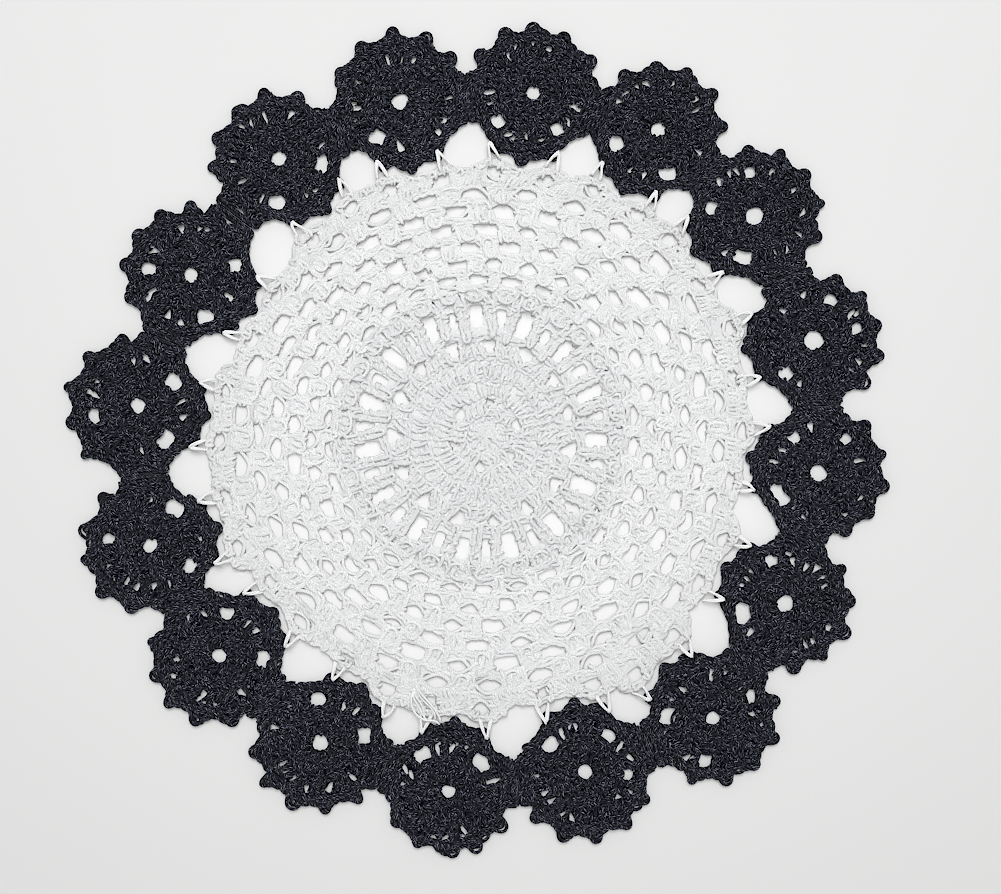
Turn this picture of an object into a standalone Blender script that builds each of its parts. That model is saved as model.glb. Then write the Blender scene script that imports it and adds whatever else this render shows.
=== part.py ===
"""Round lace doily: a white crocheted centre inside a border of sixteen dark crocheted motifs.

The doily lies flat with its underside on z = 0 and the middle of its closed centre ring at
the origin. The centre and each motif were crocheted as separate pieces, so each is its own
flat sheet with its larger openwork gaps cut through. Sizes below are in millimetres and
angles in degrees, counter-clockwise from +X.
"""

import math
from collections import namedtuple

import bmesh
import bpy
from mathutils import Vector

MM = 0.001

# Thickness of the crochet, and the space left where one piece meets the next.
CENTRE_THICKNESS = 2.0
MOTIF_THICKNESS = 2.4
PIECE_GAP = 0.3

# One border motif: radii of the twelve picots and of the dips between them.
FREE_PICOT_RADIUS = 28.8
JOINED_PICOT_RADIUS = 31.5
WHITE_PICOT_RADIUS = 29.2
BUMP_RADIUS = 30.4
OUTER_DIP_RADIUS = 24.8
SIDE_DIP_RADIUS = 25.6
INNER_DIP_RADIUS = 27.0
NECK_HALF_ANGLE = 15.0
WHITE_PICOT_ANGLE = 25.0
FREE_PICOTS = 5

# Half the angle that a picot spans at its tip and at its root, and a free picot's round tip.
FREE_PICOT_SPAN = (3.4, 9.0)
JOINED_PICOT_SPAN = (5.5, 10.5)
INNER_PICOT_SPAN = (3.2, 7.5)
ROOT_RISE = 0.4
FREE_PICOT_CROWN = 0.6

# The gaps inside a motif: its centre hole, then the gaps between its posts.
MOTIF_GAP_RADIUS = 17.4
MOTIF_GAP_ANGLE = 42.0
MOTIF_GAP_ASPECT = 0.8
CENTRE_HOLE_SIDES = 10
OUTER_GAP_RADIUS = 16.6

# White edge: the short tabs that meet the motifs, and the arches that carry them.
TAB_LENGTH = 2.2
TAB_FLARE = 0.5
ARCH_HALF_WIDTH = 5.6
ARCH_FALL = 0.9
TRAPEZOID_DIP = 3.0
TRAPEZOID_HALF_ANGLE = 1.5
EDGE_GAP_DEPTH = 6.9

# The white rounds lean a little away from the centre ring, as worked by hand.
ROUND_DRIFT = (-2.0, 0.8)
DRIFT_RADIUS = 50.0
EDGE_ROUND_RADIUS = 104.2
UNEVEN_SIZE = 0.12
UNEVEN_PLACE = 0.5

WHITE = (0.86, 0.86, 0.88, 1.0)
DARK = (0.012, 0.014, 0.022, 1.0)
YARN_ROUGHNESS = 0.9

# place: direction of the motif seen from the origin, reach: its distance, turn: its twist
# towards the centre, size: scale of its outer half, lean: twist of its free picots,
# hole: width of its centre hole, gap_cw and gap_ccw: widths of its two inner gaps (0: closed).
Motif = namedtuple("Motif", "place reach turn size lean hole gap_cw gap_ccw")
MOTIFS = (
    Motif(-161.8, 141.4, -4.4, 1.01, -5.0, 5.4, 5.6, 7.4),
    Motif(-140.4, 138.3, -1.6, 1.04, 3.0, 5.2, 6.4, 5.4),
    Motif(-118.3, 139.9, -9.9, 1.0, 6.0, 5.6, 6.0, 5.8),
    Motif(-96.0, 142.9, 0.4, 0.95, 4.0, 5.0, 7.2, 6.4),
    Motif(-73.8, 140.2, -7.4, 1.02, -6.0, 5.4, 5.2, 6.0),
    Motif(-51.4, 144.7, 6.4, 0.97, 3.0, 5.0, 0.0, 7.0),
    Motif(-29.4, 136.8, -0.5, 1.0, -2.0, 6.2, 4.6, 7.6),
    Motif(-6.5, 133.6, -6.2, 1.0, -4.0, 6.0, 4.4, 8.2),
    Motif(16.1, 136.5, -9.0, 0.98, 0.0, 6.8, 0.0, 5.4),
    Motif(39.3, 138.4, -6.8, 1.01, 1.0, 6.6, 4.6, 7.2),
    Motif(60.8, 139.8, 0.1, 0.98, 1.0, 5.2, 5.6, 7.2),
    Motif(82.2, 137.9, -1.1, 1.0, 4.0, 4.8, 5.0, 4.6),
    Motif(104.5, 137.7, -4.7, 1.03, -7.0, 5.8, 5.6, 0.0),
    Motif(126.9, 138.2, 3.1, 0.985, 2.0, 5.4, 6.4, 6.4),
    Motif(151.5, 134.1, -1.4, 1.02, -6.0, 5.0, 6.0, 5.2),
    Motif(175.2, 139.7, -3.3, 1.06, -7.0, 5.4, 7.0, 6.0),
)

# One picot of a motif's outline, with the radius of the dip that follows it.
Picot = namedtuple("Picot", "direction radius span crown dip")

# Smaller gaps on the outer half of some motifs: direction is measured from the inward one.
OuterGap = namedtuple("OuterGap", "motif direction width")
OUTER_GAPS = (
    OuterGap(0, 157.0, 4.2),
    OuterGap(4, -102.0, 4.0),
    OuterGap(5, -105.0, 4.4),
    OuterGap(5, 125.0, 4.6),
    OuterGap(7, -116.0, 4.0),
    OuterGap(8, -118.0, 5.2),
    OuterGap(8, -171.0, 4.2),
    OuterGap(9, -116.0, 4.2),
    OuterGap(14, -158.0, 4.6),
    OuterGap(15, -158.0, 5.4),
)

# A round of gaps in the white centre: how many, their radius, the direction of the first,
# and their width along and height across the round. Every other gap is scaled by alternate.
GapRound = namedtuple("GapRound", "count radius first width height alternate shape")
GAP_ROUNDS = (
    GapRound(6, 12.4, 20.0, 4.6, 4.4, 1.0, "fan"),
    GapRound(15, 34.6, 13.2, 6.8, 6.0, 1.0, "fan"),
    GapRound(30, 46.4, 20.4, 6.0, 8.4, 0.68, "lens"),
    GapRound(30, 68.2, 2.0, 7.0, 4.0, 1.0, "lens"),
    GapRound(30, 75.0, 9.4, 8.0, 4.0, 1.0, "lens"),
    GapRound(30, 82.0, 4.8, 8.8, 4.2, 1.0, "lens"),
    GapRound(30, 89.0, 0.4, 9.4, 4.2, 1.0, "lens"),
    GapRound(30, 96.4, 7.6, 9.6, 4.2, 1.0, "lens"),
)
EDGE_GAP_WIDTH = 8.4
EDGE_GAP_SHIFT = 1.3
EDGE_GAP_HEIGHT = 4.6

# Corners of a gap as shares of its half width (along) and half height (outward).
GAP_SHAPES = {
    "lens": ((-1.0, 0.0), (-0.55, -1.0), (0.55, -1.0), (1.0, 0.0), (0.55, 1.0), (-0.55, 1.0)),
    "fan": ((-0.2, -1.0), (0.2, -1.0), (0.95, 0.6), (0.7, 1.0), (-0.7, 1.0), (-0.95, 0.6)),
}


def clear_scene():
    """Remove whatever objects the file opens with."""
    for thing in list(bpy.data.objects):
        bpy.data.objects.remove(thing, do_unlink=True)


def along(direction, length):
    """Vector of a length in a direction given in degrees."""
    angle = math.radians(direction)
    return Vector((math.cos(angle), math.sin(angle))) * length


def direction_of(vector):
    """Direction of a vector in degrees."""
    return math.degrees(math.atan2(vector.y, vector.x))


def turn_between(start, end):
    """Smallest turn in degrees from one direction to another."""
    return (end - start + 180.0) % 360.0 - 180.0


def uneven(first, second):
    """Repeatable unevenness of handwork, between -1 and 1."""
    return math.sin(2.3 * first + 1.7 * second + 1.3 * math.sin(0.9 * first - second))


def motif_centre(index):
    """Middle of a motif, counting around the border."""
    motif = MOTIFS[index % len(MOTIFS)]
    return along(motif.place, motif.reach)


def inward(index):
    """Direction in which a motif faces the white centre, with its own turn."""
    motif = MOTIFS[index % len(MOTIFS)]
    return motif.place + 180.0 + motif.turn


def picots_of(index):
    """List a motif's twelve picots, counter-clockwise."""
    motif = MOTIFS[index]
    centre = motif_centre(index)
    to_next = direction_of(motif_centre(index + 1) - centre)
    to_last = direction_of(motif_centre(index - 1) - centre)
    facing = inward(index)
    outer_start = to_last + NECK_HALF_ANGLE
    outer_step = turn_between(outer_start, to_next - NECK_HALF_ANGLE) % 360.0 / (FREE_PICOTS + 1)
    outer_dip = OUTER_DIP_RADIUS * motif.size
    joined = (JOINED_PICOT_RADIUS, JOINED_PICOT_SPAN, 0.0)
    to_white = (WHITE_PICOT_RADIUS, INNER_PICOT_SPAN, 0.0)
    picots = [
        Picot(to_last - NECK_HALF_ANGLE, *joined, SIDE_DIP_RADIUS),
        Picot(outer_start, *joined, outer_dip),
    ]
    for step in range(1, FREE_PICOTS + 1):
        direction = outer_start + outer_step * step + motif.lean
        radius = FREE_PICOT_RADIUS * motif.size + UNEVEN_PLACE * uneven(index, step)
        picots.append(Picot(direction, radius, FREE_PICOT_SPAN, FREE_PICOT_CROWN, outer_dip))
    picots += [
        Picot(to_next - NECK_HALF_ANGLE, *joined, SIDE_DIP_RADIUS),
        Picot(to_next + NECK_HALF_ANGLE, *joined, OUTER_DIP_RADIUS),
        Picot(facing - WHITE_PICOT_ANGLE, *to_white, INNER_DIP_RADIUS),
        Picot(facing, BUMP_RADIUS, INNER_PICOT_SPAN, 0.0, INNER_DIP_RADIUS),
        Picot(facing + WHITE_PICOT_ANGLE, *to_white, OUTER_DIP_RADIUS),
    ]
    return picots


def clear_of_neighbour(point, index, other):
    """Move a point back to the seam line between a motif and a neighbour."""
    centre = motif_centre(index)
    span = motif_centre(other) - centre
    normal = span.normalized()
    excess = (point - centre).dot(normal) - (span.length - PIECE_GAP) / 2
    return point - normal * max(excess, 0.0)


def motif_outline(index):
    """Outline of a motif: twelve picots with a dip after each."""
    centre = motif_centre(index)
    picots = picots_of(index)
    points = []
    for last, picot, following in zip(picots[-1:] + picots, picots, picots[1:] + picots[:1]):
        tip, root = picot.span
        halfway = (turn_between(picot.direction, following.direction) % 360.0) / 2
        corners = [
            (picot.direction - root, last.dip + ROOT_RISE),
            (picot.direction - tip, picot.radius - picot.crown),
            (picot.direction + tip, picot.radius - picot.crown),
            (picot.direction + root, picot.dip + ROOT_RISE),
            (picot.direction + halfway, picot.dip),
        ]
        if picot.crown > 0.0:
            corners.insert(2, (picot.direction, picot.radius))
        points += [centre + along(*corner) for corner in corners]
    for other in (index - 1, index + 1):
        points = [clear_of_neighbour(point, index, other) for point in points]
    return points


def gap_outline(middle, outward, width, height, shape):
    """Corners of one gap around its middle, facing the outward direction."""
    up = along(outward, 1.0)
    across = along(outward - 90.0, 1.0)
    corners = GAP_SHAPES[shape]
    return [middle + across * (width / 2 * u) + up * (height / 2 * v) for u, v in corners]


def motif_gaps(index):
    """Centre hole and post gaps of one motif."""
    motif = MOTIFS[index]
    centre = motif_centre(index)
    step = 360.0 / CENTRE_HOLE_SIDES
    gaps = [[centre + along(step * side, motif.hole / 2) for side in range(CENTRE_HOLE_SIDES)]]
    for side, width in ((-1.0, motif.gap_cw), (1.0, motif.gap_ccw)):
        if width > 0.0:
            direction = inward(index) + side * MOTIF_GAP_ANGLE
            middle = centre + along(direction, MOTIF_GAP_RADIUS)
            height = width * MOTIF_GAP_ASPECT
            gaps.append(gap_outline(middle, direction, width, height, "lens"))
    for gap in OUTER_GAPS:
        if gap.motif == index:
            direction = inward(index) + gap.direction
            middle = centre + along(direction, OUTER_GAP_RADIUS)
            gaps.append(gap_outline(middle, direction, gap.width, gap.width, "lens"))
    return gaps


def joint_of(index, side):
    """Where the white edge meets a motif: its two tab corners, seen counter-clockwise.

    side is 1 for the joint at the motif's clockwise end, and -1 for the other one.
    """
    centre = motif_centre(index)
    direction = inward(index) + side * WHITE_PICOT_ANGLE
    tip = INNER_PICOT_SPAN[0]
    reach = WHITE_PICOT_RADIUS + PIECE_GAP
    return centre + along(direction + tip, reach), centre + along(direction - tip, reach)


def edge_radius(angle):
    """Radius of the last round of gaps in a direction, blended between the motifs."""
    stations = [(motif.place, motif.reach) for motif in MOTIFS]
    stations.append((MOTIFS[0].place + 360.0, MOTIFS[0].reach))
    angle = (angle - MOTIFS[0].place) % 360.0 + MOTIFS[0].place
    for (start, low), (end, high) in zip(stations, stations[1:]):
        if start <= angle <= end:
            share = (angle - start) / (end - start)
            blend = share * share * (3.0 - 2.0 * share)
            reach = low + (high - low) * blend
            break
    tab_reach = WHITE_PICOT_RADIUS * math.cos(math.radians(WHITE_PICOT_ANGLE))
    return reach - tab_reach - EDGE_GAP_DEPTH


def on_round(radius, angle):
    """Place on a white round: rounds drift off the ring and spread to meet the motifs."""
    drift = min(radius / DRIFT_RADIUS, 1.0)
    drift = drift * drift * (3.0 - 2.0 * drift)
    spread = max(radius - DRIFT_RADIUS, 0.0) / (EDGE_ROUND_RADIUS - DRIFT_RADIUS)
    lean = along(angle, 1.0).dot(Vector(ROUND_DRIFT))
    extra = (edge_radius(angle) - EDGE_ROUND_RADIUS - lean) * spread
    return along(angle, radius + extra) + Vector(ROUND_DRIFT) * drift


def centre_gaps():
    """All gaps cut through the white centre."""
    gaps = []
    for level, row in enumerate(GAP_ROUNDS):
        for number in range(row.count):
            angle = row.first + 360.0 / row.count * number
            scale = row.alternate if number % 2 else 1.0
            scale *= 1.0 + UNEVEN_SIZE * uneven(number, level)
            shift = UNEVEN_PLACE * uneven(level + 3, number)
            middle = on_round(row.radius + shift, angle)
            gaps.append(gap_outline(middle, angle, row.width * scale, row.height * scale, row.shape))
    for index in range(len(MOTIFS)):
        for side in (1, -1):
            first, second = joint_of(index, side)
            middle = (first + second) / 2
            angle = direction_of(middle) + side * EDGE_GAP_SHIFT
            middle = along(angle, middle.length - EDGE_GAP_DEPTH)
            width = EDGE_GAP_WIDTH * (1.0 + UNEVEN_SIZE * uneven(index, side))
            gaps.append(gap_outline(middle, angle, width, EDGE_GAP_HEIGHT, "lens"))
    return gaps


def centre_outline():
    """Edge of the white centre: an arch and a tab at each joint, and a dip after each."""
    points = []
    for index in range(len(MOTIFS)):
        centre = motif_centre(index)
        facing = inward(index)
        tip = INNER_PICOT_SPAN[0]
        for side in (1, -1):
            first, second = joint_of(index, side)
            angle = direction_of(first + second)
            up = along(angle, 1.0)
            aside = along(angle + 90.0, 1.0)
            crest = (first + second) / 2 - up * TAB_LENGTH
            points.append(crest - aside * ARCH_HALF_WIDTH - up * ARCH_FALL)
            points.append(first - up * TAB_LENGTH - aside * TAB_FLARE)
            points.append(first)
            points.append(second)
            points.append(second - up * TAB_LENGTH + aside * TAB_FLARE)
            points.append(crest + aside * ARCH_HALF_WIDTH - up * ARCH_FALL)
            if side == 1:
                reach = BUMP_RADIUS + PIECE_GAP
                points.append(centre + along(facing + tip, reach))
                points.append(centre + along(facing - tip, reach))
        this_joint = joint_of(index, -1)[1]
        next_joint = joint_of(index + 1, 1)[0]
        low = min(this_joint.length, next_joint.length) - TAB_LENGTH - TRAPEZOID_DIP
        middle = direction_of(this_joint.normalized() + next_joint.normalized())
        points.append(along(middle - TRAPEZOID_HALF_ANGLE, low))
        points.append(along(middle + TRAPEZOID_HALF_ANGLE, low))
    return points


def yarn_material(name, colour):
    """Plain matt cotton yarn of one colour."""
    material = bpy.data.materials.new(name)
    material.use_nodes = True
    shader = material.node_tree.nodes["Principled BSDF"]
    shader.inputs["Base Color"].default_value = colour
    shader.inputs["Roughness"].default_value = YARN_ROUGHNESS
    shader.inputs["Metallic"].default_value = 0.0
    return material


def add_sheet(name, outline, gaps, thickness, material):
    """Make one flat sheet from its outline and its gaps, resting on z = 0."""
    shape = bmesh.new()
    for loop in [outline] + gaps:
        corners = [shape.verts.new((point.x * MM, point.y * MM, 0.0)) for point in loop]
        for corner, following in zip(corners, corners[1:] + corners[:1]):
            shape.edges.new((corner, following))
    filled = bmesh.ops.triangle_fill(shape, edges=shape.edges[:], use_beauty=True)
    faces = [face for face in filled["geom"] if isinstance(face, bmesh.types.BMFace)]
    raised = bmesh.ops.extrude_face_region(shape, geom=faces, use_keep_orig=True)
    top = [vertex for vertex in raised["geom"] if isinstance(vertex, bmesh.types.BMVert)]
    bmesh.ops.translate(shape, vec=(0.0, 0.0, thickness * MM), verts=top)
    bmesh.ops.recalc_face_normals(shape, faces=shape.faces[:])
    mesh = bpy.data.meshes.new(name)
    shape.to_mesh(mesh)
    shape.free()
    mesh.materials.append(material)
    sheet = bpy.data.objects.new(name, mesh)
    bpy.context.scene.collection.objects.link(sheet)
    return sheet


def build_doily():
    """Make the white centre and the border of motifs."""
    white = yarn_material("white_yarn", WHITE)
    dark = yarn_material("dark_yarn", DARK)
    add_sheet("centre", centre_outline(), centre_gaps(), CENTRE_THICKNESS, white)
    for index in range(len(MOTIFS)):
        name = f"motif_{index + 1:02d}"
        add_sheet(name, motif_outline(index), motif_gaps(index), MOTIF_THICKNESS, dark)


clear_scene()
build_doily()
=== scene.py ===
"""Round lace doily: a white crocheted centre in a border of sixteen navy motifs, laid flat.

Lengths in the tables are millimetres and directions are degrees, counter-clockwise from +X.
The origin is the closed ring in the middle of the white centre, on the underside.
"""

import logging
import math
from collections.abc import Callable
from dataclasses import dataclass, field
from enum import Enum

import bpy
import numpy as np
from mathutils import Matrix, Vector
from mathutils.geometry import delaunay_2d_cdt


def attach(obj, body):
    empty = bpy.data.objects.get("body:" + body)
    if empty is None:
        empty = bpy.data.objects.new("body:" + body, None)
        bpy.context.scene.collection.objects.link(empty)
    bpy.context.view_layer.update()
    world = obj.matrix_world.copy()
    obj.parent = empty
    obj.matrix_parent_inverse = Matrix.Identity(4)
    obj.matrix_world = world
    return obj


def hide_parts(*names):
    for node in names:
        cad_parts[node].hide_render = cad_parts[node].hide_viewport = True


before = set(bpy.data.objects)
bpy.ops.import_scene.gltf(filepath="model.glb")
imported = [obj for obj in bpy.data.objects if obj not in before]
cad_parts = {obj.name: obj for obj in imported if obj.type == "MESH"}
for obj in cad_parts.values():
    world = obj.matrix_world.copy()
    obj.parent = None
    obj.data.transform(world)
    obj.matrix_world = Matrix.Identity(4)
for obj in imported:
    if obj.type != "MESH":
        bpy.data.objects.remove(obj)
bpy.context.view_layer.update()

LOG = logging.getLogger("doily")
MM = 0.001
WIDEST_LEG = 0.74
Place = np.ndarray
Span = tuple[float, float]
Colour = tuple[float, float, float, float]


# ---------------------------------------------------------------- the pattern, as the solids have it


@dataclass(frozen=True)
class MotifRow:
    """One border motif, with the widths of its centre hole and of its two inner gaps.

    place and reach say where its middle lies; turn is how far it is turned from facing the ring,
    lean how far its free picots are turned further, and size the scale of their radius.
    """

    place: float
    reach: float
    turn: float
    size: float
    lean: float
    hole: float
    gap_cw: float
    gap_ccw: float


MOTIFS = (
    MotifRow(-161.8, 141.4, -4.4, 1.01, -5.0, 5.4, 5.6, 7.4),
    MotifRow(-140.4, 138.3, -1.6, 1.04, 3.0, 5.2, 6.4, 5.4),
    MotifRow(-118.3, 139.9, -9.9, 1.0, 6.0, 5.6, 6.0, 5.8),
    MotifRow(-96.0, 142.9, 0.4, 0.95, 4.0, 5.0, 7.2, 6.4),
    MotifRow(-73.8, 140.2, -7.4, 1.02, -6.0, 5.4, 5.2, 6.0),
    MotifRow(-51.4, 144.7, 6.4, 0.97, 3.0, 5.0, 0.0, 7.0),
    MotifRow(-29.4, 136.8, -0.5, 1.0, -2.0, 6.2, 4.6, 7.6),
    MotifRow(-6.5, 133.6, -6.2, 1.0, -4.0, 6.0, 4.4, 8.2),
    MotifRow(16.1, 136.5, -9.0, 0.98, 0.0, 6.8, 0.0, 5.4),
    MotifRow(39.3, 138.4, -6.8, 1.01, 1.0, 6.6, 4.6, 7.2),
    MotifRow(60.8, 139.8, 0.1, 0.98, 1.0, 5.2, 5.6, 7.2),
    MotifRow(82.2, 137.9, -1.1, 1.0, 4.0, 4.8, 5.0, 4.6),
    MotifRow(104.5, 137.7, -4.7, 1.03, -7.0, 5.8, 5.6, 0.0),
    MotifRow(126.9, 138.2, 3.1, 0.985, 2.0, 5.4, 6.4, 6.4),
    MotifRow(151.5, 134.1, -1.4, 1.02, -6.0, 5.0, 6.0, 5.2),
    MotifRow(175.2, 139.7, -3.3, 1.06, -7.0, 5.4, 7.0, 6.0),
)


@dataclass(frozen=True)
class OuterGap:
    """A small gap on a motif's outer half; its direction is measured from the inward one."""

    motif: int
    direction: float
    width: float


OUTER_GAPS = (
    OuterGap(0, 157.0, 4.2),
    OuterGap(4, -102.0, 4.0),
    OuterGap(5, -105.0, 4.4),
    OuterGap(5, 125.0, 4.6),
    OuterGap(7, -116.0, 4.0),
    OuterGap(8, -118.0, 5.2),
    OuterGap(8, -171.0, 4.2),
    OuterGap(9, -116.0, 4.2),
    OuterGap(14, -158.0, 4.6),
    OuterGap(15, -158.0, 5.4),
)


class GapShape(Enum):
    """Corners of a gap, as shares of its half width and half height."""

    LENS = ((-1.0, 0.0), (-0.55, -1.0), (0.55, -1.0), (1.0, 0.0), (0.55, 1.0), (-0.55, 1.0))
    FAN = ((-0.2, -1.0), (0.2, -1.0), (0.95, 0.6), (0.7, 1.0), (-0.7, 1.0), (-0.95, 0.6))
    OPEN = (
        (-1.0, -0.4), (-0.75, -1.0), (0.75, -1.0), (1.0, -0.4),
        (1.0, 0.4), (0.75, 1.0), (-0.75, 1.0), (-1.0, 0.4),
    )


@dataclass(frozen=True)
class WhiteRound:
    """One worked round of the white centre, from the tops of the last one to its own tops.

    low and high are the radii of its posts' feet and tops; groups, first, gap and height say how
    many gaps it has, the direction of the first, and their size; alternate scales every other
    gap; taper is how much narrower a gap is at its foot; posts is the number between two gaps;
    wave is how far the tops rise over each gap. A gap LONG_GAP times as wide as high is a long one.
    """

    MESH_GROUPS = 30
    LONG_GAP = 1.5

    low: float
    high: float
    groups: int
    first: float
    gap: float
    height: float
    posts: int
    alternate: float = 1.0
    taper: float = 0.0
    wave: float = 0.5
    shape: GapShape = GapShape.LENS
    in_solids: bool = True

    @property
    def in_feet(self) -> bool:
        """Whether its groups of posts end in one strand around their feet."""
        return self.groups == self.MESH_GROUPS

    @property
    def is_mesh(self) -> bool:
        """Whether its gaps are long ones with a bowed strand along each side."""
        return self.in_feet and self.gap > self.LONG_GAP * self.height


ROUNDS = (
    WhiteRound(1.6, 8.0, 1, 0.0, 0.0, 0.0, 16, wave=0.0, in_solids=False),
    WhiteRound(10.4, 14.6, 6, 20.0, 4.6, 4.4, 4, taper=0.8, wave=1.1, shape=GapShape.FAN),
    WhiteRound(16.2, 22.4, 8, 11.0, 0.0, 0.0, 6, wave=0.4, in_solids=False),
    WhiteRound(24.0, 29.8, 15, 1.2, 0.0, 0.0, 4, wave=0.4, in_solids=False),
    WhiteRound(31.2, 37.8, 15, 13.2, 6.8, 6.0, 4, taper=0.8, wave=1.0, shape=GapShape.FAN),
    WhiteRound(41.0, 51.4, 30, 20.4, 6.0, 8.4, 2, alternate=0.68, wave=0.9),
    WhiteRound(53.4, 57.2, 30, 2.6, 1.2, 1.4, 4, wave=0.3, in_solids=False),
    WhiteRound(59.4, 63.6, 30, 6.8, 7.6, 2.8, 2, wave=0.4, in_solids=False),
    WhiteRound(65.6, 70.2, 30, 2.0, 7.0, 4.0, 3, wave=0.4),
    WhiteRound(72.4, 77.2, 30, 9.4, 8.0, 4.0, 3, wave=0.4),
    WhiteRound(79.4, 84.2, 30, 4.8, 8.8, 4.2, 3, wave=0.45),
    WhiteRound(86.4, 91.4, 30, 0.4, 9.4, 4.2, 3, wave=0.45),
    WhiteRound(93.6, 98.8, 30, 7.6, 9.6, 4.2, 4, wave=0.45),
)


@dataclass(frozen=True)
class EndPly:
    """One ply of the frayed thread end: its thickness, and places with heights along it."""

    thickness: float
    path: tuple[tuple[float, float, float], ...]


THREAD_END = (
    EndPly(0.55, (
        (-28.6, -99.0, 1.4), (-28.3, -100.2, 2.6), (-25.0, -104.3, 2.9), (-22.2, -107.1, 3.2),
        (-19.6, -110.2, 3.4), (-18.4, -113.0, 3.3), (-18.1, -114.4, 2.9),
    )),
    EndPly(0.5, (
        (-28.8, -101.0, 1.6), (-29.8, -104.0, 2.4), (-27.8, -106.8, 2.6), (-26.3, -109.4, 2.6),
        (-24.8, -112.7, 2.9), (-23.6, -113.6, 3.1),
    )),
    EndPly(0.42, (
        (-28.4, -100.6, 1.6), (-29.2, -103.6, 2.2), (-26.6, -106.0, 2.3), (-25.0, -109.2, 2.4),
        (-24.6, -112.4, 2.6), (-24.2, -113.4, 3.0),
    )),
    EndPly(0.6, (
        (-28.9, -101.4, 1.6), (-30.1, -104.3, 2.6), (-30.1, -107.8, 2.7), (-28.3, -111.2, 2.8),
        (-26.3, -112.7, 3.0), (-23.7, -113.8, 3.5), (-21.4, -113.3, 3.5), (-19.6, -114.0, 3.2),
        (-18.6, -115.2, 2.8),
    )),
    EndPly(0.45, (
        (-28.0, -100.4, 1.6), (-27.6, -103.0, 2.4), (-24.6, -106.6, 2.6), (-21.4, -108.9, 3.0),
        (-20.2, -111.6, 3.2), (-20.4, -113.2, 3.4),
    )),
)


@dataclass(frozen=True)
class Picot:
    """One picot of a motif.

    span is how far its tip and its root reach on each side, in degrees; crown is how far its
    corners lie below its tip, and dip the radius of the low place that follows it.
    """

    direction: float
    radius: float
    span: Span
    crown: float
    dip: float


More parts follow.
